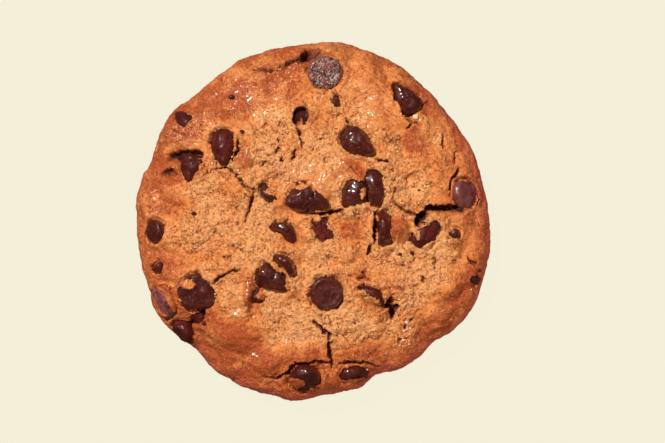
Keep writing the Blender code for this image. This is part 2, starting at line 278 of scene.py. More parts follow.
for light in ("key", "soft"):
    sunData = bpy.data.lights.new(light + "Light", "SUN")
    sunData.energy = stage[light + "Strength"]
    sunData.angle = math.radians(stage[light + "Spread"])
    sunData.color = stage[light + "Colour"]
    sun = linkObject(light + "Light", sunData)
    sun.rotation_euler = Vector(stage[light + "Angle"]).to_track_quat("Z", "Y").to_euler()
    sun.visible_glossy = light == "key"

world = bpy.data.worlds.new("studioFill")
world.use_nodes = True
world.node_tree.nodes["Background"].inputs["Color"].default_value = stage["fillColour"]
world.node_tree.nodes["Background"].inputs["Strength"].default_value = stage["fillStrength"]
bpy.context.scene.world = world
bpy.context.scene.view_settings.view_transform = "Standard"

half = stage["floorSize"] / 2 * mm
floorMesh = bpy.data.meshes.new("paperFloor")
corners = [(-half, -half), (half, -half), (half, half), (-half, half)]
floorMesh.from_pydata([(x, y, -stage["floorDrop"] * mm) for x, y in corners], [], [(0, 1, 2, 3)])
floor = linkObject("paperFloor", floorMesh)
paper, paperTree, paperShader = freshMaterial("creamPaper")
paperShader["Base Color"].default_value = stage["floorPaint"]
paperShader["Roughness"].default_value = stage["floorRoughness"]
paperShader["Specular IOR Level"].default_value = 0.0
paperShader["Emission Color"].default_value = stage["floorColour"]
rays = put(paperTree, "ShaderNodeLightPath").outputs
glow = ramp(paperTree, rays["Is Camera Ray"], 0.0, 1.0, stage["floorBounce"], stage["floorGlow"])
dimming = ramp(paperTree, rays["Is Glossy Ray"], 0.0, 1.0, 1.0, stage["floorMirror"])
glow = times(paperTree, glow, dimming)
paperTree.links.new(glow, paperShader["Emission Strength"])
floorMesh.materials.append(paper)
print("stage set")


# Shader groups that the baked dough, the crumbs and the chocolate share

grainLook = {
    "lumpScale": 0.36,  # these three next to the fine sand
    "poreScale": 0.85,
    "sparkScale": 2.2,
    "softShare": 0.6,  # how much the sand adds to the lumps' height, and the lumps to the sand's tone
    "poreDepth": 0.7,
    "poreEdge": (0.33, 0.41),
    "sparkEdge": (0.60, 0.70),
    "toneEdge": (0.58, 1.02),
    "mottleEdge": (0.36, 0.64),
}


def makeGrain():  # fine sandy grain with pits, for the height of a bump and for colour
    inputs = [("Vector", "NodeSocketVector", None), ("Grain size", "NodeSocketFloat", 0.0004)]
    outputs = [(name, "NodeSocketFloat") for name in ("Height", "Pits", "Tone", "Sparks")]
    tree, given, out = newTree("bakedGrain", "ShaderNodeTree", inputs, outputs)
    place, fine = given["Vector"], maths(tree, "DIVIDE", 1.0, given["Grain size"])
    share = grainLook["softShare"]
    sand = waves(tree, place, fine, 2.0, 0.6)
    lumps = waves(tree, place, times(tree, fine, grainLook["lumpScale"]), 3.0, 0.65)
    pores = waves(tree, place, times(tree, fine, grainLook["poreScale"]), 3.0, 0.7)
    specks = waves(tree, place, times(tree, fine, grainLook["sparkScale"]), 1.0)
    pits = ramp(tree, pores, *grainLook["poreEdge"], 1.0, 0.0)
    height = plus(tree, times(tree, sand, share), lumps)
    height = minus(tree, height, times(tree, pits, grainLook["poreDepth"]))
    tone = plus(tree, sand, times(tree, lumps, share))
    tree.links.new(height, out["Height"])
    tree.links.new(pits, out["Pits"])
    tree.links.new(ramp(tree, tone, *grainLook["toneEdge"]), out["Tone"])
    # the Sparks mask places the painted highlights of the crust
    tree.links.new(ramp(tree, specks, *grainLook["sparkEdge"]), out["Sparks"])
    return tree


def makeMottle():  # soft patches, 0 to 1
    inputs = [("Vector", "NodeSocketVector", None), ("Patch size", "NodeSocketFloat", 0.006)]
    tree, given, out = newTree("softMottle", "ShaderNodeTree", inputs, [("Mask", "NodeSocketFloat")])
    scale = maths(tree, "DIVIDE", 1.0, given["Patch size"])
    patches = waves(tree, given["Vector"], scale, 4.0, 0.55)
    tree.links.new(ramp(tree, patches, *grainLook["mottleEdge"]), out["Mask"])
    return tree


bakedGrain, softMottle = makeGrain(), makeMottle()

bakedLook = {
    "pale": (0.91, 0.420, 0.158, 1.0),
    "golden": (0.76, 0.250, 0.066, 1.0),
    "brown": (0.44, 0.082, 0.019, 1.0),
    # the edge colour: partly the browner edge, partly painted shade on the side away from the key light
    "edge": (0.64, 0.115, 0.070, 1.0),
    # pores and darker crumb, also used as painted shade in pits, seams, low grains and cuts
    "pitAndShade": (0.26, 0.060, 0.020, 1.0),
    # painted shade at its darkest, in splits, hollows and under torn edges
    "deep": (0.045, 0.010, 0.006, 1.0),
    "stain": (0.07, 0.014, 0.008, 1.0),
    # painted highlight: pale specks on the greasy crust
    "paintedGlint": (1.0, 0.72, 0.42, 1.0),
    "grainSize": 0.00052,
    "mottleSize": 0.0055,
    "fleckSize": 0.0011,
    "crumbRoughness": 0.80,
    "crustRoughness": 0.36,
    "coatRoughness": 0.16,
    "shine": 0.16,
    "crumbBump": 0.00100,
    "crustBump": 0.00042,
    "mottle": 0.34,  # how far soft patches, small flecks and single grains change the browning
    "fleck": 0.18,
    "crustFleck": 0.32,
    "crumbFleck": 0.75,
    "goldenAt": 0.5,  # how browned the crust is where it is golden, and where it is brown
    "brownAt": 1.1,
    "paintedGlintShare": (0.12, 0.95),  # painted highlight on bright grains, from matt to greasy crust
    "pitShare": (0.22, 0.40),  # from smooth crust to crumb
    "grainMiddle": 0.8,
    "tornShare": 0.75,  # how far single grains break up the edge of a dark place
    "smearShare": 0.25,
    "shadeFrom": 0.18,  # how strong the painted shade of splits, hollows and torn edges is where the crust darkens, and where it turns black
    "blackFrom": 0.50,
    "blackAt": 0.85,
    "shade": 0.85,
    "grease": (0.04, 0.20),  # how much smoother grains are, from matt to greasy crust
}


def makeBakedMaterial():
    look = bakedLook
    made, tree, shader = freshMaterial("bakedDough")
    spot = put(tree, "ShaderNodeTexCoord").outputs["Object"]
    brown, crumb = attribute(tree, "brown"), attribute(tree, "crumb")
    deep, gloss = attribute(tree, "deep"), attribute(tree, "gloss")
    edge, stain = attribute(tree, "edge"), attribute(tree, "stain")
    grain = useGroup(tree, bakedGrain, {"Vector": spot, "Grain size": look["grainSize"]})
    mottle = useGroup(tree, softMottle, {"Vector": spot, "Patch size": look["mottleSize"]})["Mask"]
    flecks = useGroup(tree, softMottle, {"Vector": spot, "Patch size": look["fleckSize"]})["Mask"]
    grainFleck = ramp(tree, crumb, 0.0, 1.0, -look["crustFleck"], -look["crumbFleck"])
    toasted = brown
    for mask, share in ((mottle, look["mottle"]), (flecks, look["fleck"]), (grain["Tone"], grainFleck)):
        toasted = plus(tree, toasted, times(tree, minus(tree, mask, 0.5), share))
    colour = blendColour(tree, ramp(tree, toasted, 0.0, look["goldenAt"]), look["pale"], look["golden"])
    browned = ramp(tree, toasted, look["goldenAt"], look["brownAt"])
    colour = blendColour(tree, browned, colour, look["brown"])
    # painted shade: the edge band, strongest on the side away from the key light, partly the browner edge
    colour = blendColour(tree, edge, colour, look["edge"])
    # painted highlight: bright specks, strongest on the greasy crust
    paintedGlint = times(tree, grain["Sparks"], ramp(tree, gloss, 0.2, 0.9, *look["paintedGlintShare"]))
    colour = blendColour(tree, paintedGlint, colour, look["paintedGlint"])
    # pores and pits are darkened: partly the darker crumb inside, partly painted shade
    pits = times(tree, grain["Pits"], ramp(tree, crumb, 0.0, 1.0, *look["pitShare"]))
    pits = maths(tree, "MAXIMUM", attribute(tree, "pitAndShade"), pits)
    colour = blendColour(tree, pits, colour, look["pitAndShade"])
    torn = times(tree, minus(tree, grain["Height"], look["grainMiddle"]), look["tornShare"])
    # painted shade: splits, hollows and torn edges darken the crust, then turn it black
    sunk = plus(tree, deep, torn)
    shade = ramp(tree, sunk, look["shadeFrom"], look["blackFrom"], 0.0, look["shade"])
    colour = blendColour(tree, shade, colour, look["pitAndShade"])
    colour = blendColour(tree, ramp(tree, sunk, look["blackFrom"], look["blackAt"]), colour, look["deep"])
    smear = plus(tree, stain, times(tree, torn, look["smearShare"]))
    colour = blendColour(tree, ramp(tree, smear, 0.3, 0.9), colour, look["stain"])
    tree.links.new(colour, shader["Base Color"])
    rough = ramp(tree, minus(tree, crumb, gloss), -0.9, 0.5, look["crustRoughness"], look["crumbRoughness"])
    grease = times(tree, ramp(tree, grain["Tone"], 0.45, 0.9), ramp(tree, gloss, 0.0, 1.0, *look["grease"]))
    tree.links.new(minus(tree, rough, grease), shader["Roughness"])
    wet = times(tree, ramp(tree, grain["Tone"], 0.3, 0.75), ramp(tree, gloss, 0.25, 1.0))
    tree.links.new(times(tree, wet, ramp(tree, deep, 0.1, 0.5, 1.0, 0.0)), shader["Coat Weight"])
    shader["Coat Roughness"].default_value = look["coatRoughness"]
    shader["Specular IOR Level"].default_value = look["shine"]
    depth = ramp(tree, crumb, 0.0, 1.0, look["crustBump"], look["crumbBump"])
    roughen(tree, shader, times(tree, grain["Height"], depth))
    return made


patchRoughness, bloomRoughness = 0.14, 0.25  # added where the chocolate is warm, and bloomed


def makeChocolate(name, look):
    made, tree, shader = freshMaterial(name)
    spot = put(tree, "ShaderNodeTexCoord").outputs["Object"]
    patches = useGroup(tree, softMottle, {"Vector": spot, "Patch size": look["patch"]})["Mask"]
    dust = useGroup(tree, bakedGrain, {"Vector": spot, "Grain size": look["dustSize"]})
    colour = blendColour(tree, patches, look["dark"], look["warm"])
    bloom = times(tree, dust["Pits"], look["bloom"], clamp=True)
    haze = times(tree, ramp(tree, dust["Tone"], 0.5, 0.9), look["haze"])
    bloom = plus(tree, bloom, haze, clamp=True)
    tree.links.new(blendColour(tree, bloom, colour, look["pale"]), shader["Base Color"])
    rough = ramp(tree, patches, 0.0, 1.0, look["rough"], look["rough"] + patchRoughness)
    tree.links.new(plus(tree, rough, times(tree, bloom, bloomRoughness)), shader["Roughness"])
    ripple = times(tree, waves(tree, spot, 1 / look["ripple"], 3.0), look["rippleDepth"])
    roughen(tree, shader, plus(tree, ripple, times(tree, dust["Height"], look["dustDepth"])))
    shader["Specular IOR Level"].default_value = look["shine"]
    shader["Coat Weight"].default_value = look["coat"]
    shader["Coat Roughness"].default_value = look["coatRough"]
    return made


chocolateLook = {
    "glossyChocolate": {
        "dark": (0.052, 0.005, 0.003, 1.0), "warm": (0.088, 0.010, 0.005, 1.0),
        "pale": (0.55, 0.28, 0.18, 1.0),
        "patch": 0.0022, "dustSize": 0.00036, "bloom": 0.22, "haze": 0.0, "rough": 0.34, "shine": 0.18,
        "coat": 0.95, "coatRough": 0.12, "ripple": 0.0014, "rippleDepth": 0.00030, "dustDepth": 0.00003,
    },
    "dullChocolate": {
        "dark": (0.058, 0.005, 0.003, 1.0), "warm": (0.105, 0.010, 0.006, 1.0),
        "pale": (0.40, 0.16, 0.10, 1.0),
        "patch": 0.0022, "dustSize": 0.0005, "bloom": 0.20, "haze": 0.0, "rough": 0.46, "shine": 0.18,
        "coat": 0.15, "coatRough": 0.16, "ripple": 0.0013, "rippleDepth": 0.00034, "dustDepth": 0.00005,
    },
    "bloomedChocolate": {
        "dark": (0.050, 0.007, 0.005, 1.0), "warm": (0.18, 0.040, 0.026, 1.0),
        "pale": (0.86, 0.66, 0.56, 1.0),
        "patch": 0.0016, "dustSize": 0.00042, "bloom": 0.9, "haze": 0.36, "rough": 0.30, "shine": 0.25,
        "coat": 0.5, "coatRough": 0.16, "ripple": 0.0010, "rippleDepth": 0.00024, "dustDepth": 0.00007,
    },
    "satinChocolate": {
        "dark": (0.115, 0.020, 0.018, 1.0), "warm": (0.235, 0.062, 0.058, 1.0),
        "pale": (0.55, 0.34, 0.33, 1.0),
        "patch": 0.0034, "dustSize": 0.0006, "bloom": 0.12, "haze": 0.04, "rough": 0.36, "shine": 0.3,
        "coat": 0.3, "coatRough": 0.24, "ripple": 0.0025, "rippleDepth": 0.00018, "dustDepth": 0.00003,
    },
    "roseChocolate": {
        "dark": (0.10, 0.014, 0.015, 1.0), "warm": (0.27, 0.070, 0.070, 1.0),
        "pale": (0.70, 0.46, 0.44, 1.0),
        "patch": 0.0026, "dustSize": 0.0008, "bloom": 0.25, "haze": 0.10, "rough": 0.34, "shine": 0.3,
        "coat": 0.3, "coatRough": 0.2, "ripple": 0.0022, "rippleDepth": 0.0002, "dustDepth": 0.00003,
    },
    "wetChocolate": {
        "dark": (0.060, 0.006, 0.005, 1.0), "warm": (0.14, 0.014, 0.009, 1.0),
        "pale": (0.45, 0.13, 0.07, 1.0),
        "patch": 0.0014, "dustSize": 0.00036, "bloom": 0.6, "haze": 0.06, "rough": 0.24, "shine": 0.25,
        "coat": 1.0, "coatRough": 0.08, "ripple": 0.0009, "rippleDepth": 0.00032, "dustDepth": 0.00002,
    },
}
bakedDough = makeBakedMaterial()
chocolates = {name: makeChocolate(name, look) for name, look in chocolateLook.items()}
print("materials made")


# Chocolate chips: each follows its solid, rounded and softened by the oven

chipShape = {
    "voxel": 0.24,
    "rounding": 12,
    "ringDepth": (2.0, 0.8),  # how far below its top a chip starts to feel its ring, and feels all of it
    "ringWidth": 0.45,
}
chipRelief = {  # inputs of the tree, in millimetres
    "Dent size": 2.6,
    "Dent depth": 1.1,
    "Ripple size": 1.0,
    "Ripple depth": 0.16,
}
chipDents = {  # chips lying foot up keep their form better, one has run
    "chip_12": 0.4, "chip_30": 0.4, "chip_19": 0.7, "chip_26": 1.2, "chip_25": 2.2,
}
chipFinish = {
    "chip_30": "bloomedChocolate", "chip_19": "satinChocolate", "chip_26": "roseChocolate",
    "chip_02": "dullChocolate",
    "chip_27": "dullChocolate", "chip_03": "dullChocolate", "chip_31": "dullChocolate",
    "chip_08": "wetChocolate",
    "chip_13": "dullChocolate", "chip_20": "dullChocolate", "chip_32": "dullChocolate",
}
footRings = {  # chips lying foot up: middle, radius of the raised ring of the foot and its rise
    "chip_12": (3.3, -18.0, 3.3, 0.16),
    "chip_30": (2.9, 36.9, 3.5, 0.14),
}


def makeSoftTree():
    numbers = {name: value * mm for name, value in chipRelief.items()}
    tree, given, out = newGeometryTree("softChocolate", {**numbers, "Seed": 0.0})
    place = put(tree, "GeometryNodeInputPosition").outputs[0]
    lift = 0.0
    for kind in ("Dent", "Ripple"):
        scale = maths(tree, "DIVIDE", 1.0, given[kind + " size"])
        feeds = {"Vector": place, "W": given["Seed"], "Scale": scale, "Detail": 1.0}
        wave = put(tree, "ShaderNodeTexNoise", feeds, noise_dimensions="4D").outputs[0]
        lift = plus(tree, lift, times(tree, minus(tree, wave, 0.5), given[kind + " depth"]))
    finishTree(tree, liftAlongNormal(tree, given["Geometry"], lift), given["Finish"], out)
    return tree


def makeChip(node, seed, softTree):
    bm = bmesh.new()
    bm.from_mesh(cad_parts[node].data)
    bmesh.ops.remove_doubles(bm, verts=bm.verts, dist=0.001 * mm)
    mesh = bpy.data.meshes.new(node)
    bm.to_mesh(mesh)
    bm.free()
    obj = linkObject("chocolateChip" + node[-2:], mesh)
    remesh = obj.modifiers.new("evenSkin", "REMESH")
    remesh.mode = "VOXEL"
    remesh.voxel_size = chipShape["voxel"] * mm
    remesh.use_smooth_shade = True
    rounding = obj.modifiers.new("rounding", "SMOOTH")
    rounding.iterations = chipShape["rounding"]
    values = {name: value * mm for name, value in chipRelief.items()}
    values["Dent depth"] = chipDents.get(node, chipRelief["Dent depth"]) * mm
    values["Seed"] = float(seed)
    values["Finish"] = chocolates[chipFinish.get(node, "glossyChocolate")]
    addNodes(obj, softTree, values)
    mesh = freeze(obj)
    if node in footRings:
        ringX, ringY, radius, rise = footRings[node]
        points = meshPoints(mesh)
        highest = points[:, 2].max()
        start, full = chipShape["ringDepth"]
        top = smoothStep(highest - start, highest - full, points[:, 2])
        off = np.hypot(points[:, 0] - ringX, points[:, 1] - ringY) - radius
        points[:, 2] += top * rise * np.exp(-((off / chipShape["ringWidth"]) ** 2))
        setPoints(mesh, points)
    return obj


chipNodes = sorted(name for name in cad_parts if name.startswith("chip_"))
softTree = makeSoftTree()
chips = {node: makeChip(node, i, softTree) for i, node in enumerate(chipNodes)}
print("chips made:", len(chips))


# The dough: one round with the same dome, edge and mounds as its solid, then the finer crust

crust = {
    "meanRadius": 44.12,
    "thickness": 14.5,
    "bellyHeight": 4.2,
    "crown": 3.1,
    "baseInset": 2.4,
    "rings": 174,
    "sideRings": 8,
    "fade": 26 / 3,  # how fast the relief dies away at the widest line
    "bellyRelief": 0.25,
    "lumps": ((9.0, 2.2), (5.0, 1.5), (3.2, 0.9)),
    "lumpMean": 0.24,
    "moundShare": 1.25,
    "raggedness": ((2.8, 0.60), (1.1, 0.44), (0.55, 0.20)),  # size and reach of the ragged edge of splits
    "rimCalm": 0.45,  # share of the finer lumps that is left at the edge
    "rimFolds": (8.0, 2.2, 0.42),  # length, width and height of the folds that run along the edge
}
rimSwells = (  # angle, spread and rise
    (14, 12, -0.6), (40, 17, -1.1), (67, 12, 0.5), (82, 7, 0.9), (129, 15, -0.9), (143, 5, 1),
    (159, 6, -0.9), (171, 8, 0.45), (194, 14, 0.3), (212, 6, 1.5), (227, 6, -0.5), (246, 10, 1.1),
    (263, 7, 1.2), (280, 8, -0.7), (293, 6, -2.3), (303, 5, -0.8), (314, 6, -1.3), (332, 9, 1.4),
    (349, 8, 0.8),
)
mounds = (  # x, y, half length, half width, heading and rise
    (9.8, 13.6, 5.2, 3.4, -40, 1.1), (5, 11.5, 6, 4.5, 50, 0.6), (9.4, -2.4, 4, 3.2, 50, 0.9),
    (21.5, -1.6, 2.8, 2.6, 0, 0.9), (25.2, 20.4, 3.4, 3, 0, 0.8), (17, 25.4, 5, 4, 10, 0.6),
    (-17, 15, 5.2, 2.4, -80, 0.9), (-15.6, -19.6, 5.8, 2.2, 90, 1), (-10, 33.6, 4.6, 3.2, -20, 0.8),
    (-27.5, 25, 7, 3, 40, 0.7), (-35.5, 19, 6, 2.4, 35, 0.7), (-34.5, 7, 5, 3, -30, 0.7),
    (13, -4, 3.6, 2, 80, 0.7), (20.6, -5, 4.4, 2.4, 80, 0.6), (-5.6, -4.6, 4.4, 3.6, 30, 0.7),
    (-6.4, -13.2, 3, 2.4, -40, 0.9), (13, -20.4, 6.5, 4.6, 40, 0.7), (-1, -32.4, 5, 3.4, 10, 0.8),
    (8.8, -33.4, 4.8, 3, 5, 0.8), (-22.6, -28, 9, 3.4, -25, 0.8), (-21, -18, 4.4, 3, 60, 0.6),
    (33.5, -18, 7, 4.4, 60, 0.6), (29, 10, 5, 4, 70, 0.7), (38.4, 13, 5.5, 2.4, 100, 0.6),
    (24.6, 10.6, 3.4, 2.6, 0, -0.9), (-23, 3, 8, 5, 20, -0.5), (-12, 22, 6, 5, 60, -0.6),
    (24, -11, 5, 4, 20, -0.5), (4.2, 41.2, 3.6, 1.3, -8, 1.3), (7.4, 38.4, 1.4, 3, 20, 0.6),
)
hollows = (  # x, y, half length, half width, heading, depth, way to the steep wall and how dark the painted shade by that wall is
    (-0.9, 40.9, 3.8, 1.6, 36, 2, 120, 1), (-5.2, 36.4, 2.8, 2.6, 30, 0.9, 120, 0),
    (-32.2, 15.6, 5.2, 1.8, 12, 3.2, 95, 1), (-35.8, 11.6, 2.6, 1, -12, 1.6, 90, 0.9),
    (-2.8, 26, 2.8, 2.1, 65, 3, 150, 1.4), (32.6, 2.6, 5.4, 1.3, -4, 3, 90, 1.6),
    (27.2, 0.3, 2.6, 1.8, 60, 3, 150, 1.6), (18.7, -20.3, 1.9, 1.2, 30, 2.6, 165, 1.3),
    (19.7, -23.2, 1.9, 0.9, 84, 2.4, 165, 1.4), (21, -21.3, 1.4, 0.6, -20, 1.6, 165, 1),
    (-14, -20.4, 4.8, 2, 88, 1.8, 175, 0.35), (-28.6, -24, 3, 1.4, 48, 2.6, 120, 1),
    (5.9, 29.4, 0.7, 1.9, 0, 1.8, 160, 1), (24.4, 26.2, 2, 0.9, -25, 1.4, 100, 0.9),
    (24.8, 10.6, 2.4, 1.6, 20, 1.1, 120, 0.3), (19.4, -21.6, 1.1, 0.7, -70, 2.2, 165, 1.3),
    (24.4, -25, 0.9, 0.5, 30, 1.2, 120, 0.9), (23, -26.9, 0.7, 0.5, -40, 1.2, 120, 0.9),
    (21.6, -29.8, 0.8, 0.5, 20, 1.2, 120, 0.9), (13.2, -15.2, 2.6, 1, -25, 1, 100, 0.45),
)
splits = (  # width, depth and line
    (1, 1.8, ((-15.4, 37.6), (-13.2, 36.9), (-9.6, 36.5), (-7.4, 38.4))),
    (0.8, 1.8, ((-4.2, 23.4), (-3.4, 21.6), (-3, 18.2))),
    (0.7, 1.6, ((7.4, 25.9), (8.3, 24.5), (9, 23))),
    (0.9, 1.8, ((-24.1, 13.1), (-20.6, 12.6), (-18.4, 10.6), (-16.7, 8.4), (-14.4, 7.4))),
    (1.2, 2.2, ((-0.4, 1.9), (2.4, 1.5), (5.4, 1.9), (7.6, 2.9))),
    (0.8, 1.8, ((15.4, 15.2), (17.2, 14.7), (19.2, 14))),
    (0.9, 1.8, ((22.4, 26), (24.1, 24.2), (23, 22.4))),
    (0.8, 1.6, ((32.6, 22), (32.3, 19.9), (32.6, 18))),
    (1.1, 2.2, ((36.2, 13.2), (34.8, 11), (33, 7.4))),
    (1, 1.8, ((20.4, 4.6), (22.8, 2.1), (26.4, 1.2))),
    (1.2, 3, ((15.3, 2.4), (15.4, -1.8), (15.3, -6))),
    (0.8, 1.8, ((14.6, -5.6), (13.7, -7.6), (13.4, -9))),
    (1.4, 3, ((-0.6, -25.2), (2.2, -27.2), (4, -28.6), (3.6, -31.6), (4.8, -36.6))),
    (1.2, 2.2, ((-12.2, -38.6), (-9.2, -39.4), (-6.6, -38.2), (-4.2, -35.6), (0.4, -34.9), (5, -35.4))),
    (1, 2, ((6.4, -35.2), (9.6, -34.9), (12.8, -35.4), (16.6, -36.6))),
    (1.1, 2, ((-24.7, -15.6), (-23.4, -14), (-21.4, -13.1), (-18.4, -12))),
    (0.8, 1.6, ((-16.9, -0.4), (-16.1, 2.8), (-14.9, 5.6), (-14, 7.6))),
    (0.8, 1.5, ((38.6, -8.8), (39.9, -10.8), (40.8, -12.2))),
    (1, 1.8, ((-40, -16.6), (-40.9, -19.4), (-39.9, -23), (-35.9, -26.9))),
    (0.6, 0.9, ((-26.5, 4.4), (-26.4, 2.4), (-26.7, 0.9))),
    (0.6, 1, ((-2.2, 30.6), (-2, 28.4), (-2.4, 26.6))),
    (0.7, 1.2, ((-34.4, 22.4), (-32.2, 21.2), (-30.1, 20.9))),
    (0.6, 1, ((8.1, 14.6), (10.6, 12.1), (11.1, 11.4))),
    (0.9, 1.6, ((19.4, 33.6), (20.6, 30.2), (22.1, 27.4), (24.4, 24.6))),
    (0.7, 1.1, ((27.4, 29.6), (28.8, 29.7), (30.4, 29.1))),
    (0.6, 1, ((24.6, 24.1), (26, 23.9), (27.4, 23.5))),
    (0.6, 1, ((32.8, 19.1), (32.9, 18.4), (32.4, 17.8))),
    (0.6, 1, ((35.4, 17.9), (35.2, 16), (35.4, 14.4))),
    (0.7, 1.2, ((41.6, 7.1), (41.5, 5), (40.9, 3.4))),
    (0.7, 1.2, ((26.6, -13.9), (27, -14.8), (27.6, -15.6))),
    (0.8, 1.3, ((-8.9, 20.9), (-8.8, 20.2), (-9, 19.2))),
    (0.9, 1.5, ((-8.7, 18.2), (-9.1, 17.2), (-9.2, 16.6))),
    (0.9, 1.5, ((-3.9, 17.4), (-4.6, 16.2), (-5.4, 15.1))),
    (0.9, 1.6, ((-8, 15.6), (-8.2, 14.9), (-7.9, 14.3))),
    (0.8, 1.4, ((-11.4, 14.9), (-12.2, 14.2), (-12.9, 13.6))),
    (0.6, 0.9, ((-11.6, 16.6), (-11.2, 16.5), (-10.8, 16.4))),
    (0.6, 0.9, ((29.6, -9), (30.4, -10.6), (30.2, -12.4))),
    (0.6, 0.9, ((-20, -8.4), (-21.2, -9.2), (-22.4, -8.8))),
    (1, 2.2, ((-18.7, 20.6), (-18.5, 18), (-19.7, 14.6))),
)
ridges = (  # width, rise and line
    (1.3, 0.55, ((-35.6, 22.4), (-31, 23.6), (-27.1, 24.6))),
    (1.1, 0.50, ((-16.6, 18), (-16, 15.4), (-17.2, 13.2))),
    (1.1, 1, ((-16.4, -13.2), (-16.2, -18.6), (-17, -24.2))),
    (1.5, 0.50, ((-40.2, -19.4), (-37.8, -25.4), (-34.8, -29.4))),
    (1.6, 0.45, ((-21, 33), (-14, 36), (-8, 35))),
    (1.4, 0.40, ((-22, -33), (-12, -36), (-4, -33.4))),
    (1.4, 0.40, ((20, -30), (28, -24), (33, -16))),
)
shelves = (  # torn edges, raised on the left of the line: rise, how far that runs out, painted shadow below, line
    (0.9, 3.2, 0, ((-11.1, -24.8), (-17, -25.8), (-22, -26.4), (-26.1, -25.4))),
    (0.8, 2.4, 0, ((-14.6, 37.4), (-9, 35.8), (-8.4, 31.6), (-8.8, 27.6))),
    (1.1, 2.4, 0.9, ((-9, 36.2), (-7, 38.6), (-3.6, 40.6), (-0.6, 42.4), (2.8, 43.4))),
    (0.9, 2.6, 0.3, ((20, -14.4), (22.6, -18), (23.4, -22.4), (21, -26))),
    (0.8, 2.2, 0.7, ((-26.6, 17.8), (-31, 17.2), (-36.6, 15.4))),
    (0.7, 2.4, 0, ((-27, 20.6), (-34.4, 19.6), (-38.4, 20))),
    (0.7, 2.2, 0.2, ((22, 15.4), (20, 11.8), (20.4, 7.4), (24, 3.4))),
    (0.6, 2.4, 0, ((9.2, 18.2), (11.8, 13.4), (9.2, 9.6))),
)
laps = {  # dough that has run over a chip: x, y, half length, half width, heading and thickness
    "chip_15": ((12.4, 6.6, 1.6, 0.9, 60, 0.8),),
    "chip_16": ((18, 10.4, 1.3, 2.4, 0, 0.8),),
    "chip_25": ((-31.2, -15.7, 2.3, 1.5, -10, 0.9), (-33.1, -20.3, 1.4, 1.5, 0, 0.9)),
    "chip_10": ((-5.4, -15.4, 1.5, 2.4, -10, 0.8),),
    "chip_28": ((-4.4, -40.5, 2.9, 1.5, -8, 0.9),),
    "chip_06": ((-2.6, 8.4, 1.8, 0.8, 10, 0.6),),
    "chip_08": ((1, 0.6, 1.5, 1, 40, 0.7),),
    "chip_03": ((-31.2, 17.9, 3.8, 0.9, 10, 0.9),),
    "chip_04": ((-3.6, 25.2, 1.1, 2.2, 10, 0.5),),
    "chip_05": ((-10.2, 6.9, 1.7, 1, -35, 0.7),),
    "chip_13": ((12.9, -20.2, 4.6, 2.5, -36, 0.8),),
    "chip_19": ((37.6, 10.2, 2.4, 0.7, -10, 0.7),),
    "chip_14": ((19.9, -2.4, 1, 3.8, 0, 0.7),),
    "chip_20": ((27.2, -0.8, 2.8, 1.1, 30, 0.8), (25.6, -3.6, 1, 1.6, 0, 0.7),
                (28.6, -6.7, 3, 1.1, 25, 0.8)),
    "chip_26": ((-39.7, -21.2, 4.6, 1.4, -66, 0.8), (-34.6, -20.6, 4.4, 1.4, -58, 0.9),
                (-36.9, -16.5, 2.6, 1.5, -25, 0.7),
                (-38.6, -24.2, 2.6, 1.6, -25, 0.7)),
    "chip_32": ((-13, -18.6, 0.9, 1.6, 0, 0.5),),
    "chip_29": ((12.4, -40.4, 2, 0.9, -15, 0.7), (8, -36, 3, 0.8, 8, 0.8)),
}
tans = (  # x, y, half length, half width, heading and how much browner, - for paler
    (-10.4, 34.6, 2, 3.4, 0, 1), (-12.5, 27.6, 7, 3.6, 20, 0.25), (-32, 21.8, 6, 2.5, 15, 0.5),
    (-16.6, 15.6, 1.6, 3.4, -10, 0.8), (25.1, 19.4, 3, 3, 0, 0.9), (16.6, 24.9, 2.6, 1.8, 0, 0.4),
    (10.6, 12.8, 3.8, 1.6, -50, 0.8), (9.1, -2.4, 2.9, 2.5, 0, 0.9), (20.9, -1.4, 2.6, 2.2, 0, 0.9),
    (-8, -38, 28, 7, 4, 0.6), (15, -31, 12, 3, 22, 0.10), (11, -28, 6, 4, 10, -0.42),
    (-30, -25, 8, 6, -40, 0.4), (-16.2, -18.5, 1.3, 5.6, 0, 0.8), (-13.6, -20, 1.4, 4, 0, 0.5),
    (-21, -30, 10, 5.4, -16, 0.25), (27.5, 30, 6, 4, -40, 0.3), (-36, 10, 6, 8, 0, 0.15),
    (40, 4, 2.6, 10, 0, 0.10), (-20, 30, 9, 5, 40, 0.32), (33, -20, 8, 4, 60, 0.25),
    (-2, 6, 7, 5, 0, 0.15), (-4.6, -3.6, 3.4, 3, 0, 0.3), (-19, -27.5, 9, 3.4, -6, 0.12),
    (-28, 0, 8, 8, 0, -0.33), (-12, 20, 8, 8, 0, -0.40), (18.6, 8.4, 4, 6, 0, -0.50),
    (30, -9, 10, 9, 0, -0.30), (-18, -1, 8, 7, 0, -0.35), (-2, -25, 12, 4.6, 0, -0.30),
    (-5.4, 36, 3, 3.6, 0, 0.30), (26.6, -17.4, 6, 4.4, 0, -0.35), (9.1, -25.2, 6, 4, 0, -0.25),
    (25.4, 25.4, 2.8, 2, 0, -0.6), (23.2, -20, 3, 4, 0, -0.3), (-11, -20, 1.6, 5, 0, -0.3),
    (6, 21, 5, 6, 0, -0.2), (-21, -22, 3, 4, 0, -0.3), (20, -12, 8, 5, 0, -0.25), (-34, 3, 4, 5, 0, 0.15),
    (30, 22, 4, 5, -50, -0.25), (-0.9, 40.4, 2.6, 2, 0, 0.5), (16.6, 31, 5, 6, 0, 0.22),
    (-16, 22.6, 2.6, 5, 0, 0.35), (-24.5, 26.6, 5, 3, 20, 0.3), (-34.5, 10.5, 3, 2.4, 0, 0.4),
    (9.4, -4.6, 3, 2.4, 0, 0.35), (23, -27.5, 8, 4.5, 35, -0.35), (-4.5, 13, 5, 4, 0, -0.3),
    (21.5, 5.5, 4, 4, 0, -0.3),
)
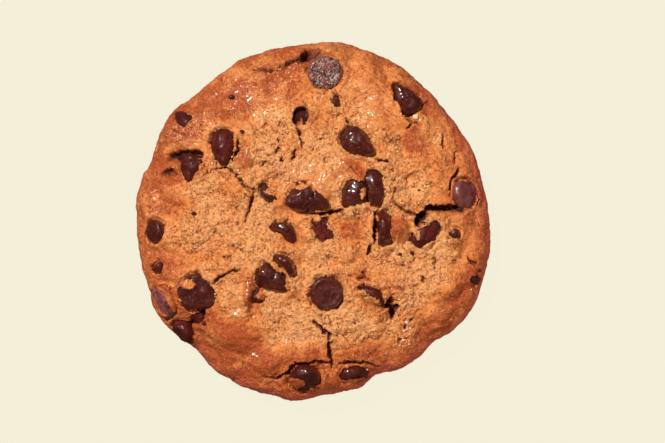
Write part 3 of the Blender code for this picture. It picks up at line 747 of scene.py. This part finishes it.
buttery = (  # where the crust is smooth and shines: x, y, half length, half width, heading and amount
    (-12.5, 27.6, 8, 4, 20, 0.8), (12.8, 25, 3.4, 2.4, 0, 1), (4.4, 10.8, 6.4, 5.4, 40, 1.1),
    (-28, 22, 5, 3.4, 20, 0.9), (9.1, -2.4, 3, 2.6, 0, 0.45), (20.9, -1.4, 2.8, 2.4, 0, 0.45),
    (-16.2, -18.5, 1.4, 5.6, 0, 1), (-16.6, 15.6, 1.8, 3.4, -10, 0.7), (25.1, 19.4, 3, 3, 0, 0.35),
    (-5, 8.4, 5, 2, 0, 0.7), (-27, -13, 6, 2.6, 20, 0.8), (14, 30, 7, 3, -30, 0.5), (-24, 3, 4, 3, 0, 0.6),
    (-18.4, -21, 1.6, 4, 0, 0.7), (-4, -29.4, 7, 1.6, 4, 0.8), (-4, -10, 4, 2.6, 0, 0.6),
    (-33, 22, 6, 3, 30, 0.35), (-38, 2, 3, 6, 0, 0.1), (-23, -17, 4, 4, 0, 0.3), (-15, 34, 9, 4, 15, 0.2),
    (-5, 13, 5, 3.5, 0, 0.7),
)
crumbHeaps = (  # torn places with loose crumbs: x, y, half length, half width, heading and amount
    (23.4, -25.9, 1.7, 2.4, 0, 12), (22.4, -29.9, 1.7, 1.8, 0, 10), (25.4, 25.6, 1.4, 1, 0, 8),
    (-14.6, -33.1, 0.9, 0.8, 0, 6), (13.1, -37.1, 1.1, 0.8, 0, 8), (-5, -29.6, 3.4, 1.4, 0, 3),
    (-5, 36.2, 3.2, 2.6, 30, 5), (22, -18.4, 2.4, 3.8, 0, 5), (18, -9.4, 4.6, 2.2, 0, 4),
    (-25.6, 13.4, 3.6, 1.8, -30, 4), (-9.6, 7.6, 1.6, 1.2, 0, 4), (13.8, 2.2, 3.4, 1.4, 10, 4),
    (31.6, 3.4, 3.6, 1.4, 0, 4), (-28.6, -22.6, 2.4, 1.6, 0, 6), (-7, 20, 4, 5, 0, 2),
    (-13.4, -23, 1.6, 2.6, 0, 4),
)
chipSeat = {
    "castFrom": 60.0,  # a height over every chip
    "reach": 2.8,  # how far from a chip the crust still feels it
    "uneven": (0.6, 0.8, 1.7),  # least strength of what follows, how much it varies and over what length
    "cover": 0.28,  # crust thinner than this has split away from the chip under it
    "steep": 4.0,
    "under": 1.0,  # how far the pocket lies below the top of the chip
    "gap": 0.55,
    "gapDepth": 0.7,
    "lip": 0.42,
    "lipPlace": 1.05,
    "lipWidth": 0.55,
    "lipOver": 0.5,  # width of the lip where the crust lies over the chip
    "stainUnder": 0.8,  # how dark the chocolate stains the crust that it broke through
    "stainOver": (0.5, 0.3),  # the same over the chip's edge and beside it, and how far each reaches
    "stainBeside": (0.6, 0.18),
}
splitShape = {
    "ends": 0.35,  # share of its width and depth that a split keeps at its ends
    "halfWidth": 0.32,  # next to the width in the table
    "leastWidth": 0.05,
    # painted shade inside a split: how dark at least, how much darker by depth, and the most
    "dark": 0.32,
    "shadeByDepth": 0.27,
    "darkestShade": 0.9,
    "lip": 0.24,
    "lipPlace": 0.5,
    "lipWidth": 0.5,
}
shelfShape = {
    "foot": 0.25,  # how far the crust below the torn edge goes down
    "footWidth": 0.8,
    "shadow": (0.2, 0.5),  # how far the painted shadow reaches above and below the edge
}
browning = {
    "least": 0.31,
    "rim": 0.56,
    "rimPlace": (0.58, 0.98),  # shares of the radius, as are crumbRim and glossPlace
    "patches": (8.0, 3.1, 0.34),  # size, seed and amount
    "clouds": (3.0, 7.7, 0.16),
    "crumbFrom": (0.66, 0.24),  # from crust to open crumb as the browning falls
    "crumbClouds": 0.2,
    "crumbRim": (1.0, 0.86),
    "rimGloss": 0.4,
    "glossPlace": (0.6, 0.9),
    "glossCrumb": 0.6,  # how much of the crumb a glossy crust hides
}
edgeAndShadeBand = {  # the pink band round the side, partly the browner edge and partly painted shade on the side away from the key light
    "heading": -52,  # degrees, the side away from the key light, where the band adds painted shade
    "shadeSide": (-0.6, 0.45),
    "top": (7.4, 4.8),  # heights
    "shadeSideRise": 2.0,
    "bottom": (1.5, 4.0),
    "least": 0.35,
    "shadeSideShare": 0.50,
    "place": (0.8, 0.86),  # shares of the radius
}
litterShape = {"least": 0.12, "crumb": 0.6, "rim": (0.97, 0.9), "tornHeap": 8}
crustRelief = {  # inputs of the tree, in millimetres
    "Wrinkle size": 3.0, "Wrinkle height": 0.95,
    "Grain size": 1.0, "Grain height": 0.75,
    "Pit size": 1.3, "Pit depth": 0.45,
    "Seam size": 4.0, "Seam depth": 0.50,
}


def rimRadius(angle):
    radius = np.full(len(angle), crust["meanRadius"])
    for place, spread, rise in rimSwells:
        off = (angle - place + 180.0) % 360.0 - 180.0
        radius += rise * np.exp(-((off / spread) ** 2))
    return radius


def domeStations(rings):  # shares of the radius and heights, evenly spaced over the dome
    turns = np.linspace(0.0, 1.0, 600) ** 2 * math.pi / 2
    shares = np.sin(turns) ** (2 / crust["crown"])
    heights = crust["bellyHeight"] + (crust["thickness"] - crust["bellyHeight"]) * np.cos(turns)
    steps = np.hypot(np.diff(shares * crust["meanRadius"]), np.diff(heights))
    travel = np.concatenate(([0.0], np.cumsum(steps)))
    stops = np.linspace(0.0, travel[-1], rings + 1)
    return np.interp(stops, travel, shares), np.interp(stops, travel, heights)


def doughGrid():  # plain points with their slope, share of the radius and fade, and the faces
    rings, sideRings = crust["rings"], crust["sideRings"]
    shares, heights = domeStations(rings)
    low, high = np.maximum(np.arange(rings + 1) - 1, 0), np.minimum(np.arange(rings + 1) + 1, rings)
    runs, drops = (shares[high] - shares[low]) * crust["meanRadius"], heights[low] - heights[high]
    slopes = np.hypot(runs, drops)
    rows = []
    for k in range(rings + 1):
        count = max(1, 6 * k)
        angle = np.arange(count) * 360.0 / count
        reach = shares[k] * rimRadius(angle)
        fade = min(1.0, (1 - k / rings) * crust["fade"] + crust["bellyRelief"])
        level = np.ones(count)
        rows.append((angle, reach, level * heights[k], level * drops[k] / slopes[k],
                     level * runs[k] / slopes[k], level * shares[k], level * fade, level))
    for s in range(1, sideRings + 1):
        turn = math.pi / 2 * s / sideRings
        angle = np.arange(6 * rings) * 360.0 / (6 * rings)
        level = np.ones(6 * rings)
        reach = rimRadius(angle) - crust["baseInset"] * (1 - math.cos(turn))
        height = crust["bellyHeight"] * (1 - math.sin(turn))
        fade = crust["bellyRelief"] * (1 - s / sideRings)
        rows.append((angle, reach, level * height, level * math.cos(turn / 2), np.zeros(6 * rings), level,
                     level * fade, level * (1 - s / sideRings)))
    faces = []
    starts = [0] + np.cumsum([len(row[0]) for row in rows[:-1]]).tolist()
    for k in range(rings):
        inner, outer = starts[k], starts[k + 1]
        inCount, outCount = max(1, 6 * k), 6 * (k + 1)
        for sector in range(6):
            for j in range(k + 1):
                a = inner + (sector * k + j) % inCount
                b = outer + (sector * (k + 1) + j) % outCount
                c = outer + (sector * (k + 1) + j + 1) % outCount
                faces.append((a, b, c))
                if j < k:
                    faces.append((a, c, inner + (sector * k + j + 1) % inCount))
    for s in range(sideRings):
        upper, lower = starts[rings + s], starts[rings + s + 1]
        for j in range(6 * rings):
            k = (j + 1) % (6 * rings)
            faces.append((upper + j, lower + j, lower + k, upper + k))
    faces.append(tuple(starts[-1] + j for j in reversed(range(6 * rings))))
    return [np.concatenate(column) for column in zip(*rows)], faces


def plainRelief(points, share):
    ease = 1 - (1 - crust["rimCalm"]) * smoothStep(0.6, 0.9, share)
    lift = np.zeros(len(points))
    for i, (size, height) in enumerate(crust["lumps"]):
        lift += height * (np.abs(noiseField(points, size)) - crust["lumpMean"]) * (ease if i else 1.0)
    for spot in mounds:
        lift += crust["moundShare"] * spot[5] * np.exp(-spotShare(points[:, 0], points[:, 1], *spot[:5]))
    reach = np.hypot(points[:, 0], points[:, 1])
    long, wide, height = crust["rimFolds"]
    around = np.column_stack((points[:, 0] / reach.clip(1) * crust["meanRadius"] / long,
                              points[:, 1] / reach.clip(1) * crust["meanRadius"] / long, reach / wide))
    folds = np.abs(noiseField(around, 1.0, 2.2)) - crust["lumpMean"]
    lift += height * folds * smoothStep(0.7, 0.88, share)
    return lift


def cutFeatures(x, y):  # how far the cuts go down, how dark their painted shade is, and how far edges stand up
    down, dark, up = np.zeros(len(x)), np.zeros(len(x)), np.zeros(len(x))
    shape = splitShape
    for width, depth, line in splits:
        away, place = lineDistance(x, y, line)[:2]
        taper = shape["ends"] + (1 - shape["ends"]) * np.sin(np.pi * np.clip(place, 0.0, 1.0)) ** 0.5
        half = shape["halfWidth"] * width * taper + shape["leastWidth"]
        share = np.clip(1 - away / half, 0.0, 1.0)
        down = np.maximum(down, depth * taper * share**0.5)
        shadeStrength = min(shape["darkestShade"], shape["dark"] + shape["shadeByDepth"] * depth) * (0.5 + 0.5 * taper)
        dark = np.maximum(dark, np.clip(1 - 0.6 * away / half, 0.0, 1.0) * shadeStrength)
        off = (away - half - shape["lipPlace"]) / shape["lipWidth"]
        up += shape["lip"] * np.exp(-(off**2)) * taper
    for placeX, placeY, length, width, heading, depth, wall, shadeStrength in hollows:
        share = np.clip(1 - spotShare(x, y, placeX, placeY, length, width, heading), 0.0, 1.0)
        turn = math.radians(wall)
        lean = ((x - placeX) * math.cos(turn) + (y - placeY) * math.sin(turn)) / width
        down = np.maximum(down, depth * share**0.5 * smoothStep(-1.6, 0.6, lean))
        dark = np.maximum(dark, shadeStrength * smoothStep(0.0, 0.25, share) * smoothStep(-0.9, 0.8, lean))
    for width, rise, line in ridges:
        away, place = lineDistance(x, y, line)[:2]
        up += rise * np.exp(-((away / width) ** 2)) * np.sin(np.pi * np.clip(place, 0.02, 0.98)) ** 0.5
    for rise, run, shadeStrength, line in shelves:
        away, place, side = lineDistance(x, y, line)
        along = np.sin(np.pi * np.clip(place, 0.0, 1.0)) ** 0.7
        foot = -shelfShape["foot"] * np.exp(-((away / shelfShape["footWidth"]) ** 2))
        up += rise * along * np.where(side > 0, np.exp(-((away / run) ** 1.5)), foot)
        shadow = np.where(side > 0, *shelfShape["shadow"])
        dark = np.maximum(dark, shadeStrength * along * np.exp(-((away / shadow) ** 2)))
    return down, dark, up


def patchField(x, y, table):
    return sum(spot[5] * np.exp(-spotShare(x, y, *spot[:5]) ** 1.5) for spot in table)


def seatChip(node, points, stain, raggedX, raggedY):  # opens the crust over a chip, with a lip round it
    seat = chipSeat
    mesh = chips[node].data
    corners = meshPoints(mesh)
    tree = BVHTree.FromPolygons(corners.tolist(), [tuple(p.vertices) for p in mesh.polygons])
    low, high = corners.min(0) - seat["reach"], corners.max(0) + seat["reach"]
    inside = (points[:, :2] > low[:2]) & (points[:, :2] < high[:2])
    near = np.where(inside.all(1) & (points[:, 2] > crust["bellyHeight"]))[0]
    least, change, length = seat["uneven"]
    vary = least + change * (0.5 + noiseField(points[near], length, 5.3))
    above, drop = seat["castFrom"], Vector((0.0, 0.0, -1.0))
    for i, strength in zip(near, vary):
        x, y, z = points[i]
        top = tree.ray_cast(Vector((x, y, above)), drop)[0]
        if top is not None:
            over = z - top.z
            cover = seat["cover"] * strength
            if over < cover:
                z = top.z + max(cover - seat["steep"] * (cover - over), -seat["under"])
                stain[i] = max(stain[i], seat["stainUnder"])
            else:
                z += seat["lip"] * strength * math.exp(-(((over - cover) / seat["lipOver"]) ** 2))
                dark, spread = seat["stainOver"]
                stain[i] = max(stain[i], dark * math.exp(-((over - cover) / spread) ** 2))
            for spot in laps.get(node, ()):
                share = float(spotShare(raggedX[i], raggedY[i], *spot[:5]))
                if share < 1:
                    z = max(z, top.z + spot[5] * (1 - share) ** 0.5)
                    stain[i] *= smoothStep(0.5, 1.0, share)
        else:
            away = tree.find_nearest(Vector((x, y, z)))[3]
            if away < seat["reach"]:
                off = (away - seat["lipPlace"]) / seat["lipWidth"]
                rise = seat["lip"] * strength * math.exp(-(off**2))
                fall = seat["gapDepth"] * strength * max(0.0, 1 - away / seat["gap"])
                z += rise - fall
                dark, spread = seat["stainBeside"]
                stain[i] = max(stain[i], dark * math.exp(-((away / spread) ** 2)))
        points[i, 2] = z


def makeCrumbTree(numbers):
    tree, given, out = newGeometryTree("crustRelief", numbers)
    place = put(tree, "GeometryNodeInputPosition").outputs[0]

    def relief(size, detail, offset=0.0):
        scale, seed = maths(tree, "DIVIDE", 1.0, given[size]), plus(tree, given["Seed"], offset)
        feeds = {"Vector": place, "W": seed, "Scale": scale, "Detail": detail, "Roughness": 0.6}
        return put(tree, "ShaderNodeTexNoise", feeds, noise_dimensions="4D").outputs[0]

    def middle(size, detail, offset=0.0):  # small where the waves cross their middle
        return maths(tree, "ABSOLUTE", minus(tree, relief(size, detail, offset), 0.5))

    crumb, calm, torn = (named(tree, name) for name in ("crumb", "calm", "torn"))
    wrinkles = times(tree, minus(tree, middle("Wrinkle size", 2.0), 0.09), 3.0)
    wrinkles = times(tree, wrinkles, given["Wrinkle height"])
    wrinkles = times(tree, wrinkles, ramp(tree, crumb, 0.0, 1.0, 0.5, 1.0))
    lumps = relief("Grain size", 3.0, 3.0)
    grain = times(tree, minus(tree, lumps, 0.5), given["Grain height"])
    grain = times(tree, grain, plus(tree, ramp(tree, crumb, 0.0, 1.0, 0.3, 1.4), torn))
    pores = minus(tree, relief("Pit size", 2.0, 5.0), times(tree, torn, 0.08))
    rough = ramp(tree, plus(tree, crumb, torn), 0.1, 0.7)
    pits = times(tree, ramp(tree, pores, 0.29, 0.37, 1.0, 0.0), rough)
    lines = ramp(tree, middle("Seam size", 3.0, 9.0), 0.004, 0.022, 1.0, 0.0)
    seams = times(tree, lines, ramp(tree, relief("Seam size", 1.0, 13.0), 0.53, 0.62))
    seams = times(tree, seams, crumb)
    lift = minus(tree, plus(tree, wrinkles, grain), times(tree, pits, given["Pit depth"]))
    lift = minus(tree, lift, times(tree, seams, given["Seam depth"]))
    # painted shade: pits, seams and low grains are marked to be darkened, partly the darker crumb inside
    sunk = times(tree, maths(tree, "MAXIMUM", pits, seams), 0.85)
    sunk = maths(tree, "MAXIMUM", sunk, times(tree, ramp(tree, lumps, 0.28, 0.44, 0.45, 0.0), crumb))
    marked = store(tree, given["Geometry"], "pitAndShade", sunk, "POINT")
    finishTree(tree, liftAlongNormal(tree, marked, times(tree, lift, calm)), given["Finish"], out)
    return tree


def makeDough():
    (angle, reach, height, out, up, share, fade, calm), faces = doughGrid()
    turn = np.radians(angle)
    flat = np.column_stack((reach * np.cos(turn), reach * np.sin(turn), height))
    ragged = [
        sum(far * noiseField(flat, size, seed) for size, far in crust["raggedness"])
        for seed in (11.7, 37.1)
    ]
    x, y = flat[:, 0] + ragged[0], flat[:, 1] + ragged[1]
    down, dark, edges = cutFeatures(x, y)
    top = smoothStep(1.0, 0.93, share)
    lift = plainRelief(flat, share) * fade + (edges - down) * np.where(share < 1, 0.15 + 0.85 * top, 0.0)
    points = flat + np.column_stack((out * np.cos(turn), out * np.sin(turn), up)) * lift[:, None]
    stain = np.zeros(len(points))
    for node in chipNodes:
        seatChip(node, points, stain, x, y)
    print("chips seated")
    patches, clouds = (noiseField(flat, *browning[kind][:2]) for kind in ("patches", "clouds"))
    brown = browning["least"] + browning["rim"] * smoothStep(*browning["rimPlace"], share)
    brown += browning["patches"][2] * patches + browning["clouds"][2] * clouds + patchField(x, y, tans)
    brown = np.clip(brown, 0.0, 1.0)
    crumb = smoothStep(*browning["crumbFrom"], brown + browning["crumbClouds"] * clouds)
    crumb *= smoothStep(*browning["crumbRim"], share)
    gloss = patchField(x, y, buttery) + browning["rimGloss"] * smoothStep(*browning["glossPlace"], share)
    gloss = np.clip(gloss, 0.0, 1.0)
    crumb *= 1 - browning["glossCrumb"] * gloss
    # painted shade: the edge band grows on the side away from the key light
    shadeSide = smoothStep(*edgeAndShadeBand["shadeSide"], np.cos(turn - math.radians(edgeAndShadeBand["heading"])))
    edge = smoothStep(edgeAndShadeBand["top"][0] + edgeAndShadeBand["shadeSideRise"] * shadeSide, edgeAndShadeBand["top"][1], points[:, 2])
    edge *= smoothStep(*edgeAndShadeBand["bottom"], points[:, 2])
    edge *= (edgeAndShadeBand["least"] + edgeAndShadeBand["shadeSideShare"] * shadeSide) * smoothStep(*edgeAndShadeBand["place"], share)
    mesh = bpy.data.meshes.new("cookieDough")
    mesh.from_pydata((points * mm).tolist(), [], faces)
    mesh.shade_smooth()
    mesh.polygons[len(faces) - 1].use_smooth = False
    heaps = patchField(x, y, crumbHeaps)
    litter = litterShape["least"] + litterShape["crumb"] * crumb + heaps
    litter = litter * smoothStep(*litterShape["rim"], share) * (1 - dark.clip(0.0, 1.0))
    # the cuts' darkness is painted shade, kept only on the crown
    fields = {
        "litter": litter, "torn": np.clip(heaps / litterShape["tornHeap"], 0.0, 1.0), "brown": brown,
        "crumb": crumb, "deep": dark * top, "gloss": gloss, "edge": edge, "stain": stain, "calm": calm,
    }
    for name, values in fields.items():
        setField(mesh, name, values)
    obj = linkObject("cookieDough", mesh)
    numbers = {name: value * mm for name, value in crustRelief.items()}
    numbers["Seed"] = 4.0
    addNodes(obj, makeCrumbTree(numbers), {**numbers, "Finish": bakedDough})
    freeze(obj)
    return obj


dough = makeDough()
print("dough made:", len(dough.data.polygons), "faces")


# Loose crumbs on the crust, and small chocolate flecks set in it

looseCrumbs = {
    "perSquareCentimetre": 50.0,
    "smallest": 0.10,
    "largest": 0.28,
    "unevenness": 0.10,
    "seed": 7,
    "thinnest": (0.6, 0.6, 0.5),  # shape of a crumb next to its size, by length, width and height
    "thickest": (1.3, 1.2, 1.0),
    "turn": 6.28,
    "bumpScale": 7000.0,
    "grainSize": 0.0002,
    "grainHeight": 0.00006,
    "palest": (0.95, 0.70, 0.44, 1.0),
}
lumpShape = {
    "sunk": 0.35,  # share of the radius that lies in the dough
    "unevenness": 0.45,
    "waves": 1.3,
    "width": 0.8,  # next to the length
    "height": 0.7,
}
chocolateFlecks = (  # x, y and radius
    (-20.4, 30.6, 0.85), (21.6, -8.4, 0.6), (24.4, -8.1, 0.5), (12.1, -12.8, 0.45), (-29.6, 1.6, 0.6),
    (41.1, -12.4, 0.5), (-17.6, 21.9, 0.55), (-22.1, -8.9, 0.45), (26.1, 7.4, 0.35), (-27, -25.6, 0.7),
    (10.2, -25.4, 0.35),
)
paleCrumbs = (  # the same
    (25.4, 25.6, 0.75), (26.5, 24.9, 0.36), (-14.6, -33.1, 0.48), (-14, -33.5, 0.30), (13.1, -37.1, 0.50),
    (23.2, -25.1, 0.42), (24, -26.6, 0.34), (22.5, -27.3, 0.30), (22.3, -29.8, 0.36), (21.5, -31, 0.26),
    (-20.1, 15.8, 0.30), (12.2, -36.6, 0.30),
)


def randomValue(tree, low, high, seed):
    if isinstance(low, tuple):
        feeds = {0: low, 1: high, "Seed": seed}
        return put(tree, "FunctionNodeRandomValue", feeds, data_type="FLOAT_VECTOR").outputs[0]
    return put(tree, "FunctionNodeRandomValue", {2: low, 3: high, "Seed": seed}).outputs[1]


def makeScatterTree(numbers):
    tree, given, out = newGeometryTree("scatteredCrumbs", numbers)
    density = times(tree, named(tree, "litter"), given["Per square metre"])
    feeds = {"Mesh": given["Geometry"], "Density": density, "Seed": given["Seed"]}
    spots = put(tree, "GeometryNodeDistributePointsOnFaces", feeds).outputs["Points"]
    lump = put(tree, "GeometryNodeMeshIcoSphere", {"Radius": 1.0, "Subdivisions": 2}).outputs[0]
    size = randomValue(tree, given["Smallest"], given["Largest"], 11)
    shape = randomValue(tree, looseCrumbs["thinnest"], looseCrumbs["thickest"], 12)
    size = put(tree, "ShaderNodeVectorMath", {0: shape, "Scale": size}, operation="SCALE").outputs[0]
    turn = randomValue(tree, (0.0, 0.0, 0.0), (looseCrumbs["turn"],) * 3, 13)
    feeds = {"Points": spots, "Instance": lump, "Rotation": turn, "Scale": size}
    placed = put(tree, "GeometryNodeInstanceOnPoints", feeds).outputs[0]
    toned = store(tree, placed, "tone", randomValue(tree, 0.0, 1.0, 14), "INSTANCE")
    real = put(tree, "GeometryNodeRealizeInstances", {"Geometry": toned}).outputs[0]
    place = put(tree, "GeometryNodeInputPosition").outputs[0]
    bumps = minus(tree, waves(tree, place, looseCrumbs["bumpScale"], 1.0), 0.5)
    lifted = liftAlongNormal(tree, real, times(tree, bumps, given["Unevenness"]))
    finishTree(tree, lifted, given["Finish"], out)
    return tree


def makeCrumbMaterial():
    made, tree, shader = freshMaterial("looseCrumb")
    spot = put(tree, "ShaderNodeTexCoord").outputs["Object"]
    grain = useGroup(tree, bakedGrain, {"Vector": spot, "Grain size": looseCrumbs["grainSize"]})
    tone = attribute(tree, "tone")
    colour = blendColour(tree, ramp(tree, tone, 0.0, 0.6), bakedLook["brown"], bakedLook["pale"])
    colour = blendColour(tree, ramp(tree, tone, 0.8, 1.0), colour, looseCrumbs["palest"])
    tree.links.new(blendColour(tree, grain["Pits"], colour, bakedLook["pitAndShade"]), shader["Base Color"])
    tree.links.new(ramp(tree, tone, 0.0, 1.0, 0.45, 0.75), shader["Roughness"])
    roughen(tree, shader, times(tree, grain["Height"], looseCrumbs["grainHeight"]))
    return made


crumbMaterial = makeCrumbMaterial()


def makeCrumbs():
    obj = linkObject("looseCrumbs", dough.data.copy())
    numbers = {
        "Per square metre": looseCrumbs["perSquareCentimetre"] * 1e4,
        "Smallest": looseCrumbs["smallest"] * mm,
        "Largest": looseCrumbs["largest"] * mm,
        "Unevenness": looseCrumbs["unevenness"] * mm,
        "Seed": looseCrumbs["seed"],
    }
    addNodes(obj, makeScatterTree(numbers), {**numbers, "Finish": crumbMaterial})
    freeze(obj)
    return obj


def makeLumps(name, table, finish):  # uneven lumps of their own, half sunk in the crust
    points = meshPoints(dough.data)
    crown = points[points[:, 2] > crust["bellyHeight"]]
    bm = bmesh.new()
    for x, y, radius in table:
        near = np.argmin(np.hypot(crown[:, 0] - x, crown[:, 1] - y))
        middle = Vector(crown[near]) + Vector((0.0, 0.0, radius * (0.5 - lumpShape["sunk"])))
        made = bmesh.ops.create_icosphere(bm, subdivisions=3, radius=radius)["verts"]
        for vert in made:
            wave = noise.noise(vert.co / radius * lumpShape["waves"] + middle)
            swell = 1 + lumpShape["unevenness"] * wave
            wide, high = vert.co.y * swell * lumpShape["width"], vert.co.z * lumpShape["height"]
            vert.co = (middle + Vector((vert.co.x * swell, wide, high))) * mm
    mesh = bpy.data.meshes.new(name)
    bm.to_mesh(mesh)
    bm.free()
    mesh.shade_smooth()
    mesh.materials.append(finish)
    setField(mesh, "tone", np.ones(len(mesh.vertices)))
    return linkObject(name, mesh)


crumbs = makeCrumbs()
flecks = makeLumps("chocolateFlecks", chocolateFlecks, chocolates["dullChocolate"])
pale = makeLumps("paleCrumbs", paleCrumbs, crumbMaterial)
print("crumbs made:", len(crumbs.data.polygons), "faces")

pieceSlots = (
    (dough, "baked_dough"), (crumbs, "baked_dough"), (pale, "baked_dough"), (flecks, "dark_chocolate"),
)
for piece, slot in pieceSlots:
    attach(piece, "root")
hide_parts("dough")
for node, chip in chips.items():
    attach(chip, "root")
    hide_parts(node)
